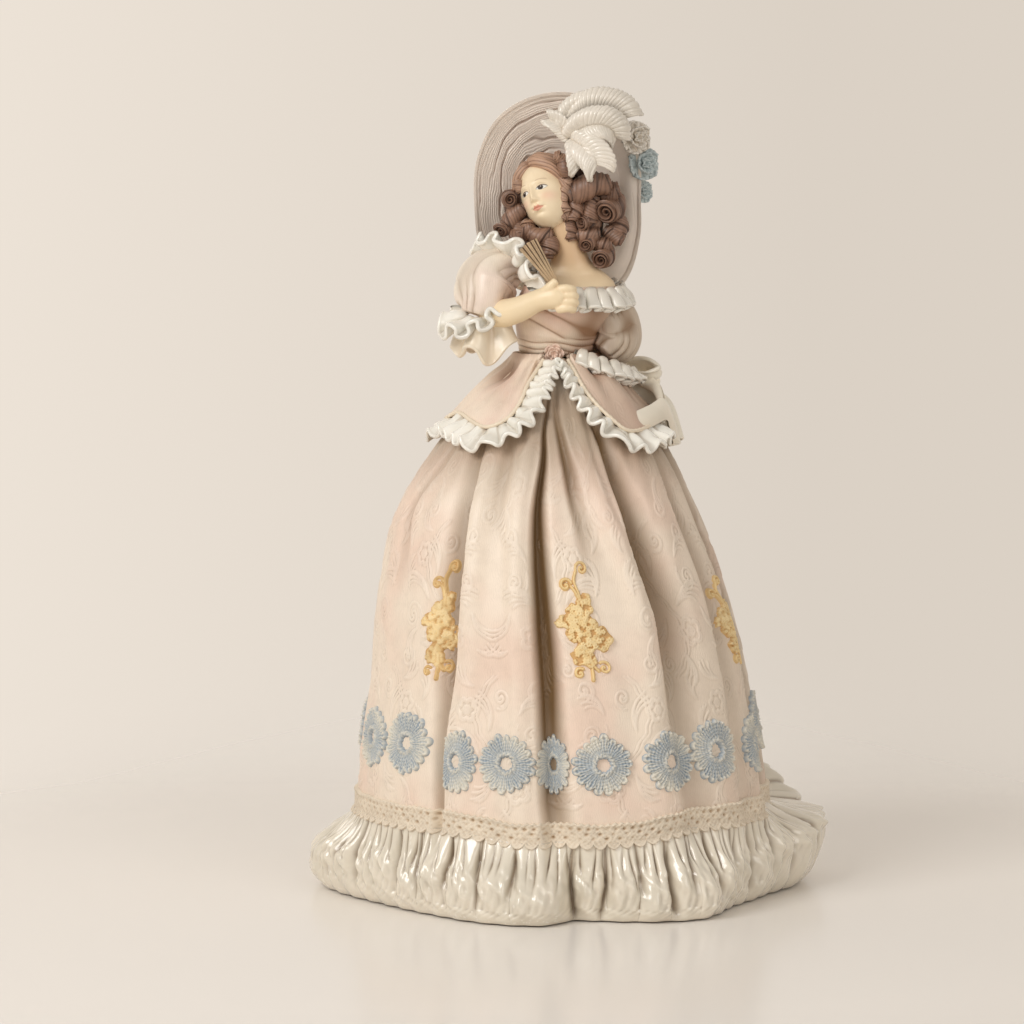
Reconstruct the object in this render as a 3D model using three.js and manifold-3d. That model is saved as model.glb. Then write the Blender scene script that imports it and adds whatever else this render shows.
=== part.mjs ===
// A cast figurine of a lady in a crinoline dress, in millimetres with +Z up.
// She faces -Y. The origin is on the floor, at the middle of the skirt's base.
import * as THREE from 'three';
import { mergeVertices } from 'three/addons/utils/BufferGeometryUtils.js';
import Module from 'manifold-3d';

const wasm = await Module();
wasm.setup();

// Joints between the glued pieces
const GLUE_GAP = 0.3;
const CUT_DEPTH = 2.5;

// Base
const FELT_DIAMETER = 144;
const FELT_THICKNESS = 1;
const BASE_DIAMETER = 140;
const BASE_THICKNESS = 4;
const VENT_DIAMETER = 12;
const VENT_OFFSET = 32;
const FELT_MARGIN = 6;
const BASE_RIM = 8;
const FOOT_RADIUS = Math.max(FELT_DIAMETER / 2 + FELT_MARGIN, BASE_DIAMETER / 2 + BASE_RIM);

// Skirt: rows of height, radius and sideways shift of the centre
const SKIRT_PROFILE = [
  [1.5, FOOT_RADIUS, 1.5], [16, FOOT_RADIUS + 4, 1.5], [35, FOOT_RADIUS + 5.2, 1.5],
  [59, 80.7, 0.7], [92, 75.5, -0.3], [116, 71.6, -2.5],
  [140, 65.3, -4.8], [156, 59.4, -5.4], [172, 50.5, -4.2], [184, 42.5, -3.2], [194, 33.5, -2.6],
  [204, 24, -2.2], [210, 17, -2], [214, 13.5, -2],
];
const SKIRT_BOTTOM = SKIRT_PROFILE[0][0];
const WAIST_HEIGHT = SKIRT_PROFILE.at(-1)[0];
const WAIST_X = SKIRT_PROFILE.at(-1)[2];
const SKIRT_DEPTH_SHARE = 0.96;
const SKIRT_WALL = 14;
const CAVITY_ROWS = [6, 40, 80, 116, 145, 164];
const CAVITY_SIDES = 28;
const TENON_DIAMETER = 14;
const TENON_LENGTH = 8;

// Skirt folds: angle from the front at the top and the bottom, half width in degrees, and depth
const SKIRT_FOLDS = [
  { top: -33, bottom: -36, half: 5.5, depth: 4.5 },
  { top: -6, bottom: -4, half: 6, depth: 8 },
  { top: 8, bottom: 14, half: 4, depth: 3.5, fades: 118 },
  { top: 30, bottom: 39, half: 9, depth: 5.5 },
  { top: 50, bottom: 57, half: 5, depth: 3 },
  { top: 78, bottom: 82, half: 8, depth: 5 },
  { top: 104, bottom: 107, half: 7, depth: 6 },
  { top: 131, bottom: 133, half: 8, depth: 6 },
  { top: 156, bottom: 158, half: 7, depth: 7 },
  { top: -176, bottom: -178, half: 7, depth: 6 },
  { top: -150, bottom: -152, half: 8, depth: 7 },
  { top: -124, bottom: -127, half: 7, depth: 6 },
  { top: -98, bottom: -100, half: 8, depth: 5 },
  { top: -62, bottom: -60, half: 6, depth: 1.5 },
];
const FOLD_DEPTH_LIMIT = 0.15;

// Hem ruffle: angle from the front and how far it reaches past the skirt's foot
const HEM_OUTLINE = [
  [-88, 24], [-58, 12], [-38, 12], [-16, 19], [-5, 18], [2, 8], [12, 11], [24, 17], [34, 20],
  [52, 10], [72, 13], [92, 28], [110, 32], [134, 21], [158, 26], [180, 20], [206, 25],
  [232, 19], [254, 25],
];
const HEM_TOP = 30;
const HEM_THICKNESS = 2;
const HEM_PLEAT_DEPTH = 1.3;
const HEM_ROLL = 8;
const HEM_FLOOR_GAP = 0.4;
const HEM_SEAT_GAP = 0.5;

// Lace band over the seam
const LACE_HEIGHT = 7.5;
const LACE_THICKNESS = 1.2;
const LACE_SEAT = 0.45;

// Applied daisies and golden motifs
const APPLIQUE_SEAT = 0.5;
// Each daisy's angle and the share of its width that shows, less where it dips into a fold
const DAISIES = [
  [-71.6, 1], [-48.7, 1], [-30.7, 0.7], [-15.7, 0.95], [-2.6, 0.55], [12.5, 1.05], [33.2, 1.05],
  [50.3, 0.9], [72, 1],
];
const DAISY_BACK_COUNT = 9;
const DAISY_DIAMETER = 22.4;
const DAISY_PETALS = 9;
const DAISY_THICKNESS = 1.5;
const DAISY_HEIGHT = 60.5;
const DAISY_SIDE_RISE = 5;
const GOLD_ANGLES = [-38, 8, 68, 128, 188, 252];
const GOLD_HEIGHT = 113;
const GOLD_THICKNESS = 1.6;
const GOLD_OUTLINE = [
  [0, -24], [1.6, -17], [7, -16], [8, -13], [3, -12], [7, -6], [10.5, -5], [10, 1], [6, 5],
  [6.5, 11], [2, 14], [2.5, 19], [7, 20], [6, 24], [1, 23], [-1, 15], [-4, 17], [-5.5, 13],
  [-4, 9], [-5, 4], [-10.5, 2], [-4.5, -3], [-4.5, -11], [-7, -13.5], [-1, -16],
];

// Overskirt: the edge runs from the front point round the back, as angle and height
const OVERSKIRT_EDGE = [
  [-18, 211], [-21, 206.5], [-23.5, 202], [-24, 196.5], [-26, 191], [-31, 187.6], [-39, 186.4],
  [-52, 188.6], [-70, 190.4], [-92, 187], [-116, 188.4], [-142, 185], [-168, 187], [-194, 185],
  [-220, 188], [-246, 186.4], [-270, 189], [-290, 187.6], [-306, 185.4], [-319, 185],
  [-326, 189.6], [-333, 196.5], [-337, 202], [-339, 206.5], [-342, 211],
];
const OVERSKIRT_THICKNESS = 2;
const OVERSKIRT_LIFT = 1.2;
const OVERSKIRT_FOLD_SHARE = 0.3;
const OVERSKIRT_TOP_DROP = 0.8;
const PIPING_DIAMETER = 1.6;
// Ruffle width against the share of the edge, from the front point round and back
const EDGE_RUFFLE_WIDTHS = [[0, 8], [0.08, 11], [0.25, 10.5], [0.5, 10], [0.86, 9], [0.94, 7], [1, 5.5]];
const EDGE_RUFFLE_FLARE = 3.5;
const EDGE_RUFFLE_WAVE = 1.1;
const EDGE_RUFFLE_FLUTES = 48;
const EDGE_RUFFLE_THICKNESS = 1.6;

// Torso: rows of centre x, centre y, height above the waist, half width and half depth
const BODICE_ROWS = [
  [-1.9, 0, 0.3, 14, 11.8], [-1.4, -0.5, 6, 15.6, 12.8], [-0.2, -1.5, 12.5, 17.6, 14.6],
  [1.6, -2.6, 18.5, 19.4, 16.2], [3.4, -2.4, 24, 19.8, 15.4], [4.2, -1.4, 28, 18.6, 12.8],
];
const BUST_ROWS = [
  [4.2, -1.4, 20, 13, 9], [4.4, -1.6, 25, 17.4, 12.6], [4.6, -1.4, 29, 17, 11],
  [5, -1.2, 32.5, 13.4, 8.6], [4.8, -1.4, 35.5, 9, 7.2], [3.8, -2, 39, 6.6, 6.4],
  [2.2, -2.6, 44, 5.8, 5.9], [0.4, -3.4, 49.5, 5.5, 5.7], [-0.8, -4, 53.5, 4, 4],
  [-2, -4.2, 58, 3.6, 3.6],
];
const ROSETTE_DIAMETER = 8;
const ROSETTE_THICKNESS = 2.6;
const ROSETTE_PETALS = 5;
const ROSETTE_X = -2.4;
const ROSETTE_RISE = 2.6;

// Head: centre from the waist, half sizes and pose
const HEAD_CENTRE = [-5.6, -2.4, 65.4];
const HEAD_HALF_WIDTH = 9;
const HEAD_HALF_DEPTH = 10.6;
const HEAD_HALF_HEIGHT = 13;
const HEAD_YAW = -33;
const HEAD_PITCH = 12;
const HEAD_ROLL = 18;
const NOSE_LENGTH = 1.9;
const HAIR_THICKNESS = 2;
const HAIR_SET_BACK = 3.4;
const HAIR_SET_UP = 2.6;

// Ringlets: start, end and radius, with heights from the waist
const CURLS_RIGHT = [
  [[4.6, -9, 67.6], [16, -6.5, 66.2], 5], [[21.5, -1, 66], [18, -7.6, 58], 5],
  [[12, -5.5, 62], [9.7, -9, 53.8], 3.8], [[5.7, -7, 61], [5.4, -8.4, 57], 3.5],
  [[2.8, -8, 55], [3.8, -8.6, 47.4], 3.2], [[7, -7.4, 49], [13.5, -6, 49.6], 3.9],
  [[18, -2, 50.5], [23.6, -1, 46], 3.4], [[10, -3, 46], [9.6, -8.6, 44.2], 3],
  [[17, -1, 44], [15.8, -7.4, 40], 4], [[2.6, -9, 73], [2.8, -9.4, 69.5], 3.2],
  [[-2.6, -11, 76], [1.4, -10, 76.6], 3.3],
];
const CURLS_RIGHT_CORE = [[7, -1, 76], [13, -0.6, 64], [12, -0.4, 52], [13, -0.4, 43]];
const CURLS_LEFT = [
  [[-19.6, -4, 63.5], [-19.4, -5.6, 61], 3], [[-15.6, -5, 58.4], [-24.4, -4.6, 50.8], 3.6],
  [[-13.4, -7, 53.6], [-20, -7.4, 48.8], 3.4], [[-13.6, -8, 47.6], [-9, -8.6, 47.2], 3.5],
  [[-6.6, -9.6, 47], [-4.4, -10, 40.6], 3.4],
];
const CURLS_LEFT_CORE = [[-16.5, -0.6, 66], [-17, -1, 56], [-12, -3, 47.5], [-5.5, -5, 43.5]];
const CORE_RADIUS = 4.6;

// Hat: the brim's outline as angle in its own plane and radius
const BRIM_CENTRE = [-1, 15, 65];
const BRIM_OUTLINE = [
  [-57, 46], [-30, 38], [-5, 33.4], [25, 35.5], [50, 39], [75, 39.8], [97, 39.5], [127, 38.2],
  [155, 35], [189, 33.7], [221, 39], [245, 42], [270, 43], [288, 45],
];
const BRIM_THICKNESS = 2.2;
const BRIM_HOLE_RADIUS = 11;
const BRIM_DISH_TOP = 11;
const BRIM_DISH_BOTTOM = -1;
const BRIM_DISH_SIDE = 8;
const HAT_CROWN_RADIUS = 16;
const HAT_CROWN_HEIGHT = 17;
const RIBBON_HEIGHT = 5;
const RIBBON_THICKNESS = 1.2;

// Plumes: spine points from the waist, half width and thickness
const PLUMES = [
  {
    name: 'plume_upper',
    spine: [[8, -4.5, 77], [5, -9, 87], [8.5, -9.5, 94], [15, -8.5, 98], [23, -6, 98.5], [29.5, -3, 97]],
    half: 9, thickness: 3.2, droop: 3.5,
  },
  {
    name: 'plume_side',
    spine: [[10.5, -9.5, 82], [14.5, -12.5, 86.5], [20.5, -12, 88], [26.5, -9, 86.5], [30, -6, 83.5]],
    half: 6.5, thickness: 3, droop: 3,
  },
  {
    name: 'plume_small',
    spine: [[9, -9.5, 84.5], [11.5, -13.5, 81], [12.4, -15.5, 77], [12.2, -15.8, 73]],
    half: 6.2, thickness: 3, droop: 2.5,
  },
];
const HAT_FLOWERS = [
  { name: 'hat_flower_white', colour: 'plume', at: [30.2, 7, 87.4], diameter: 13, petals: 5 },
  { name: 'hat_flower_blue', colour: 'blue', at: [33.8, 9, 76.6], diameter: 13.5, petals: 5 },
  { name: 'hat_flower_bud', colour: 'blue', at: [33.4, 12, 65], diameter: 9, petals: 4 },
];
const FLOWER_DEPTH_SHARE = 0.42;

// Sleeves and arms: stations of x, y, height from the waist and radius
const SLEEVE_RIGHT = [
  [-15, -1, 32, 6], [-20.5, -2, 34, 9], [-27.5, -4, 31.4, 11.6], [-31, -7, 26.4, 11.2],
  [-31, -10, 20.6, 7.6],
];
const SLEEVE_LEFT = [
  [16.6, 1, 24.4, 5], [19.4, 1, 19.4, 7.4], [21.8, 1.5, 13, 8.8], [21.6, 2.5, 6.5, 9.8],
  [17.5, 3, 1, 6.4],
];
const FOREARM_RIGHT = [
  [-30.5, -10.5, 19, 5], [-25, -14, 17.4, 6], [-17, -19, 20.2, 5.2], [-9.6, -23, 23, 4.2],
  [-5.5, -25, 24, 5], [0, -26.2, 24, 6.6], [4, -26, 22.6, 5.4],
];
const FOREARM_LEFT = [
  [16, 8, 2, 5.4], [12, 15, 0, 4.6], [4, 19.5, -1, 3.8], [-3, 20.5, -1, 4.6], [-8, 20, -1.4, 3.4],
];
const FAN_BASE = [-1.4, -25.4, 28.4];
const FAN_TIP = [-14.4, -23.6, 48];
const FAN_BASE_WIDTH = 2.6;
const FAN_TIP_WIDTH = 8.6;
const FAN_THICKNESS = 3.4;

// Frills: the line of the root, the way the cloth spreads, its width and its waves
const SHOULDER_FRILL = {
  root: [[-27, 5, 38.5], [-26.6, 1, 40.6], [-23, -5, 41.2], [-18.4, -11.5, 38.6],
    [-15.6, -16, 33], [-13, -18.4, 27.4]],
  spread: [[-7, 3, 4], [-5.6, -0.4, 6], [-2.4, -4, 6.4], [2, -5.4, 6], [3, -6.4, 3.4],
    [2.6, -6.8, 0.6]],
  waves: 5, wave: 2.4, thickness: 1.5,
};
const NECK_FRILL = {
  root: [[-4, -18, 26.4], [5, -18, 27], [13.5, -16, 26.8], [20.6, -10.2, 26.8], [24.2, 0, 27.4],
    [22, 9.4, 29], [13.5, 14, 30.6], [2, 14.8, 32], [-10, 13.8, 33.6], [-19.6, 9.6, 36]],
  spread: [[0, -7, -3.4], [0.4, -6.6, -5.4], [2.2, -6, -5.6], [4.2, -4, -5.8], [4.4, 0.4, -5.8],
    [3.4, 3.4, -5.4], [1.4, 4.6, -5.4], [0, 5, -5.4], [-1.6, 4.6, -5.4], [-3.4, 3, -5]],
  waves: 13, wave: 1.5, thickness: 1.5,
};
const CUFF_FRILL_RIGHT = {
  root: [[-26.2, -7.6, 24], [-24.6, -12.6, 20.4], [-26.6, -16.4, 16.4], [-32, -17, 14.6],
    [-37.4, -13.6, 15.6], [-39.4, -8.4, 18], [-37, -3.8, 21]],
  spread: [[3.2, -3.4, 0.6], [1.4, -6, -0.4], [-0.6, -7, -2.6], [-5, -6.8, -4], [-9, -4.4, -6],
    [-9.4, -0.6, -4.4], [-7, 2.4, -1]],
  waves: 7, wave: 1.7, thickness: 1.5,
};
const FLOUNCE_RIGHT = {
  root: [[-21.6, -12.4, 14.4], [-26.4, -17.4, 12.6], [-32.6, -17.2, 12.6], [-37, -12.4, 12.8],
    [-36.6, -6.4, 12.6], [-31.4, -3.4, 12.6]],
  spread: [[3.4, -0.6, -8.4], [0.6, -1.6, -13.4], [-2.6, -1.6, -11], [-4.4, 0, -12],
    [-3, 1.4, -9.6], [-0.6, 2, -8]],
  waves: 4, wave: 1.6, thickness: 1.5,
};
const CUFF_FRILL_LEFT = {
  root: [[6.6, -13.8, 3], [12, -14.8, 1.4], [18, -13.4, -1.4], [24.6, -9.8, -3.6],
    [29.6, -4.2, -5.8], [32, 2, -7.4]],
  spread: [[-2, -2.6, -5.6], [0.6, -4, -6], [1.6, -4.2, -6], [2.6, -3.6, -5.8],
    [4, -2.4, -4.8], [4.6, 0, -4.2]],
  waves: 5, wave: 1.7, thickness: 1.8,
};

// Bow at the back of the waist
const BOW_LOOPS = [
  { root: [26, 12.6, -5.6], tip: [42, 11.6, -8], half: 7.2, depth: 3.6 },
  { root: [20, 18, -5], tip: [14, 33, -8], half: 7.2, depth: 3.6 },
];
const BOW_KNOT = { at: [23.4, 14.6, -5.4], radius: 4.4 };
const BOW_TAILS = [
  { line: [[27.6, 15.4, -10.6], [35, 14, -16.4], [42.6, 11, -23], [49, 9, -36]], half: 6.4 },
  { line: [[20, 25, -10.6], [19, 33.6, -17.6], [21, 42.4, -27], [22, 50, -38]], half: 6 },
];
const BOW_FOLD_DEPTH = 1.8;
const BOW_RIBBON_THICKNESS = 2;

// Colours of the painted finishes
const COLOUR = {
  bisque: 0xead4c4, pearl: 0xe6dccb, lace: 0xe6d9bd, gold: 0xdcb26a, blue: 0xb4c4cd,
  skin: 0xf0dec0, hair: 0x8f6a58, straw: 0xc9bcb2, plume: 0xebe4d7, sleeve: 0xe2cdbd,
  fan: 0x8e6c45, rose: 0xc99f93, felt: 0x4c5a4e, board: 0xb9a891, ribbon: 0xe4d9c6,
};

const vec = (p) => new THREE.Vector3(p[0], p[1], p[2]);
const fromWaist = (p) => new THREE.Vector3(p[0], p[1], p[2] + WAIST_HEIGHT);
const span = (count) => Array.from({ length: count }, (_, i) => i);
const rad = THREE.MathUtils.degToRad;

// Smooth curve through rows of [position, value]; a period makes the rows run round
function through(rows, x, period = 0, column = 1) {
  const first = rows[0][0];
  const at = period ? first + (((x - first) % period) + period) % period : x;
  const row = (i) => {
    if (!period) return rows[Math.min(Math.max(i, 0), rows.length - 1)];
    const turn = Math.floor(i / rows.length);
    const own = rows[i - turn * rows.length];
    return own.map((value, k) => (k === 0 ? value + turn * period : value));
  };
  const last = period ? rows.length : rows.length - 1;
  let i = 0;
  while (i < last - 1 && at > row(i + 1)[0]) i += 1;
  const [a, b, c, d] = [row(i - 1), row(i), row(i + 1), row(i + 2)];
  const slope = (p, q) => (q[0] === p[0] ? 0 : (q[column] - p[column]) / (q[0] - p[0]));
  const width = c[0] - b[0];
  const t = Math.min(Math.max((at - b[0]) / width, 0), 1);
  const start = slope(a, c) * width;
  const end = slope(b, d) * width;
  const [t2, t3] = [t * t, t * t * t];
  return (2 * t3 - 3 * t2 + 1) * b[column] + (t3 - 2 * t2 + t) * start
    + (3 * t2 - 2 * t3) * c[column] + (t3 - t2) * end;
}

// Smooth line through points, read at 0 to 1
function pathAt(points, t) {
  const rows = points.map((p, i) => [i / (points.length - 1), ...p]);
  return rows[0].slice(1).map((_, k) => through(rows, t, 0, k + 1));
}

// The unit direction of a path at a share of its length
function heading(points, share) {
  const [ahead, behind] = [Math.min(share + 0.02, 1), Math.max(share - 0.02, 0)];
  return vec(pathAt(points, ahead)).sub(vec(pathAt(points, behind))).normalize();
}

// Closed bodies from rings of points
function bodyFrom(positions, faces) {
  const geometry = new THREE.BufferGeometry();
  geometry.setAttribute('position', new THREE.Float32BufferAttribute(positions.flatMap(
    (p) => [p.x, p.y, p.z]), 3));
  geometry.setIndex(faces.flat());
  return geometry;
}

function quads(rows, columns, roundColumns, roundRows) {
  const faces = [];
  for (let i = 0; i < rows - (roundRows ? 0 : 1); i += 1) {
    for (let j = 0; j < columns - (roundColumns ? 0 : 1); j += 1) {
      const [a, b] = [i * columns + j, i * columns + ((j + 1) % columns)];
      const [c, d] = [((i + 1) % rows) * columns + j, ((i + 1) % rows) * columns + ((j + 1) % columns)];
      faces.push([a, b, d], [a, d, c]);
    }
  }
  return faces;
}

function middle(points) {
  return points.reduce((sum, p) => sum.add(p), new THREE.Vector3()).divideScalar(points.length);
}

// Stacked rings with a fan over each end
function ringBody(rings) {
  const count = rings[0].length;
  const positions = rings.flat();
  const faces = quads(rings.length, count, true, false);
  const low = positions.push(middle(rings[0])) - 1;
  const high = positions.push(middle(rings.at(-1))) - 1;
  const top = (rings.length - 1) * count;
  for (const j of span(count)) {
    faces.push([low, (j + 1) % count, j], [high, top + j, top + ((j + 1) % count)]);
  }
  return bodyFrom(positions, faces);
}

// Sections that run round and close on themselves
const loopBody = (rings) => bodyFrom(rings.flat(), quads(rings.length, rings[0].length, true, true));

// A sheet with thickness: one grid of points for each face, with the rim joined
function sheetBody(front, back) {
  const rows = front.length;
  const columns = front[0].length;
  const size = rows * columns;
  const faces = quads(rows, columns, false, false);
  const all = faces.concat(faces.map(([a, b, c]) => [a + size, c + size, b + size]));
  const rim = [
    ...span(columns - 1).map((j) => [j, j + 1]),
    ...span(rows - 1).map((i) => [i * columns + columns - 1, (i + 1) * columns + columns - 1]),
    ...span(columns - 1).map((j) => [(rows - 1) * columns + j + 1, (rows - 1) * columns + j]),
    ...span(rows - 1).map((i) => [(i + 1) * columns, i * columns]),
  ];
  for (const [a, b] of rim) all.push([b, a, a + size], [b, a + size, b + size]);
  return bodyFrom([...front.flat(), ...back.flat()], all);
}

// Both faces of a sheet from its middle surface
function thickSheet(surface, rows, columns, thickness) {
  const step = 1e-3;
  const face = (side) => span(rows + 1).map((i) => span(columns + 1).map((j) => {
    const [u, v] = [j / columns, i / rows];
    const [u0, u1] = [Math.max(u - step, 0), Math.min(u + step, 1)];
    const [v0, v1] = [Math.max(v - step, 0), Math.min(v + step, 1)];
    const along = surface(u1, v).sub(surface(u0, v));
    const across = surface(u, v1).sub(surface(u, v0));
    const normal = along.cross(across).normalize();
    const size = typeof thickness === 'function' ? thickness(u, v) : thickness;
    return surface(u, v).addScaledVector(normal, side * size / 2);
  }));
  return sheetBody(face(1), face(-1));
}

// Rings square to a line of [x, y, z, radius] stations, with rounded ends
function limb(stations, sides, steps, flat = 1) {
  const rows = stations.map((p) => [...fromWaist(p).toArray(), p[3]]);
  const rings = [];
  let side = new THREE.Vector3(0, 1, 0);
  for (const i of span(steps + 1)) {
    const t = i / steps;
    const here = pathAt(rows, t);
    const [a, b] = [pathAt(rows, Math.max(t - 0.01, 0)), pathAt(rows, Math.min(t + 0.01, 1))];
    const along = vec(b).sub(vec(a)).normalize();
    side = side.clone().addScaledVector(along, -side.dot(along)).normalize();
    const other = along.clone().cross(side);
    rings.push(span(sides).map((j) => {
      const angle = (2 * Math.PI * j) / sides;
      return vec(here).addScaledVector(side, here[3] * Math.cos(angle) * flat)
        .addScaledVector(other, here[3] * Math.sin(angle));
    }));
  }
  return ringBody(rings);
}

// Horizontal oval rows, as for a torso
function torso(rows, sides) {
  return ringBody(rows.map(([x, y, z, wide, deep]) => span(sides).map((j) => {
    const angle = (2 * Math.PI * j) / sides;
    return fromWaist([x + wide * Math.cos(angle), y + deep * Math.sin(angle), z]);
  })));
}

// A frill: a strip that leaves its root line and waves more towards its edge
function frill({ root, spread, waves, wave, thickness }, stepsPerWave = 4) {
  const surface = (u, v) => {
    const foot = fromWaist(pathAt(root, u));
    const way = vec(pathAt(spread, u));
    const along = vec(pathAt(root, Math.min(u + 0.01, 1))).sub(vec(pathAt(root, Math.max(u - 0.01, 0))));
    const lift = along.cross(way).normalize();
    return foot.addScaledVector(way, v)
      .addScaledVector(lift, wave * Math.sqrt(v) * Math.sin(2 * Math.PI * waves * u));
  };
  return thickSheet(surface, 2, waves * stepsPerWave, thickness);
}

// Booleans
function solid(geometry) {
  const merged = mergeVertices(geometry.clone().deleteAttribute('normal').deleteAttribute('uv'), 1e-5);
  const triangles = new Uint32Array(merged.index.array);
  const make = () => new wasm.Manifold(new wasm.Mesh({
    numProp: 3,
    vertProperties: new Float32Array(merged.attributes.position.array),
    triVerts: triangles,
  }));
  const body = make();
  if (body.volume() > 0) return body;
  // The rings ran the other way round, so the faces are turned to point out
  for (let i = 0; i < triangles.length; i += 3) {
    [triangles[i], triangles[i + 1]] = [triangles[i + 1], triangles[i]];
  }
  return make();
}

function geometryOf(body) {
  const mesh = body.getMesh();
  const geometry = new THREE.BufferGeometry();
  geometry.setAttribute('position', new THREE.BufferAttribute(mesh.vertProperties, 3));
  geometry.setIndex(new THREE.BufferAttribute(mesh.triVerts, 1));
  return geometry;
}

// The same body with every face moved out by a distance
function grown(body, distance) {
  const geometry = geometryOf(body);
  const position = geometry.attributes.position;
  const index = geometry.index.array;
  const normals = span(position.count).map(() => new THREE.Vector3());
  const touching = span(position.count).map(() => []);
  for (let i = 0; i < index.length; i += 3) {
    const [a, b, c] = [0, 1, 2].map((k) => new THREE.Vector3().fromBufferAttribute(position, index[i + k]));
    const unit = b.clone().sub(a).cross(c.clone().sub(a)).normalize();
    [[a, b, c], [b, c, a], [c, a, b]].forEach(([corner, next, last], k) => {
      const angle = next.clone().sub(corner).angleTo(last.clone().sub(corner));
      normals[index[i + k]].addScaledVector(unit, angle);
      touching[index[i + k]].push(unit);
    });
  }
  for (const i of span(position.count)) {
    const normal = normals[i].normalize();
    const least = Math.min(...touching[i].map((unit) => unit.dot(normal)));
    const here = new THREE.Vector3().fromBufferAttribute(position, i);
    here.addScaledVector(normal, distance / Math.max(least, 0.35));
    position.setXYZ(i, here.x, here.y, here.z);
  }
  return solid(geometry);
}

const largest = (body) => body.decompose().sort((a, b) => b.volume() - a.volume())[0];

const joined = (...bodies) => bodies.reduce((sum, body) => sum.add(body));

// Base
function disc(diameter, bottom, top, sides) {
  const geometry = new THREE.CylinderGeometry(diameter / 2, diameter / 2, top - bottom, sides);
  return solid(geometry.rotateX(Math.PI / 2).translate(0, 0, (top + bottom) / 2));
}

// Skirt surface
function foldDepth(angle, height) {
  const radius = through(SKIRT_PROFILE, height);
  const rise = (height - SKIRT_BOTTOM) / (WAIST_HEIGHT - SKIRT_BOTTOM);
  const waistEase = 1 - 0.6 * THREE.MathUtils.smoothstep(rise, 0.86, 1);
  const ease = THREE.MathUtils.smoothstep(rise, 0, 0.1) * waistEase;
  return SKIRT_FOLDS.reduce((sum, fold) => {
    const centre = fold.bottom + (fold.top - fold.bottom) * rise;
    const away = ((((angle - centre) % 360) + 540) % 360 - 180) / (fold.half * (1 + 0.5 * rise));
    const fade = fold.fades ? THREE.MathUtils.smoothstep(height, fold.fades, fold.fades + 40) : 1;
    const depth = Math.min(fold.depth * fade, radius * FOLD_DEPTH_LIMIT) * ease;
    return sum + depth * Math.exp(-away * away);
  }, 0);
}

// A point over the skirt: the lift goes square to the profile, and a share of the folds shows
function skirtPoint(angle, height, lift = 0, folds = 1) {
  const radius = through(SKIRT_PROFILE, height) - folds * foldDepth(angle, height);
  const taper = (through(SKIRT_PROFILE, height - 1) - through(SKIRT_PROFILE, height + 1)) / 2;
  const square = 1 / Math.hypot(1, taper);
  const reach = radius + lift * square;
  return new THREE.Vector3(
    through(SKIRT_PROFILE, height, 0, 2) + reach * Math.sin(rad(angle)),
    -reach * Math.cos(rad(angle)) * SKIRT_DEPTH_SHARE,
    height + lift * square * taper,
  );
}

const FRONT_STEP = 4.5;
const BACK_STEP = 9;
const FRONT_EDGE = 72;
const SKIRT_ANGLES = [
  ...span((2 * FRONT_EDGE) / FRONT_STEP).map((i) => -FRONT_EDGE + i * FRONT_STEP),
  ...span((360 - 2 * FRONT_EDGE) / BACK_STEP).map((i) => FRONT_EDGE + i * BACK_STEP),
];
const LACE_TOP = HEM_TOP + GLUE_GAP + LACE_HEIGHT;
const SKIRT_ROWS = [SKIRT_BOTTOM, HEM_TOP, LACE_TOP, 58, 80, 102, 122, 140, 156,
  171, 184, 195, 205, WAIST_HEIGHT];

const makeSkirtOutside = () => solid(ringBody(SKIRT_ROWS.map((height) => SKIRT_ANGLES.map(
  (angle) => skirtPoint(angle, height)))));

function hollowOut(outside) {
  const baseTop = FELT_THICKNESS + 2 * GLUE_GAP + BASE_THICKNESS;
  const rebate = disc(BASE_DIAMETER + 2 * GLUE_GAP, SKIRT_BOTTOM - CUT_DEPTH, baseTop, 48);
  const rings = CAVITY_ROWS.map((height) => span(CAVITY_SIDES).map(
    (i) => skirtPoint((360 * i) / CAVITY_SIDES, height, -SKIRT_WALL, 0)));
  const mouth = rings[0].map((p) => p.clone().setZ(baseTop - GLUE_GAP));
  const hollow = ringBody([mouth, ...rings]);
  const socket = disc(TENON_DIAMETER + 2 * GLUE_GAP, WAIST_HEIGHT - TENON_LENGTH - GLUE_GAP,
    WAIST_HEIGHT + CUT_DEPTH, 24).translate([WAIST_X, 0, 0]);
  return [rebate, solid(hollow), socket].reduce((body, tool) => body.subtract(tool), outside);
}

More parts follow.
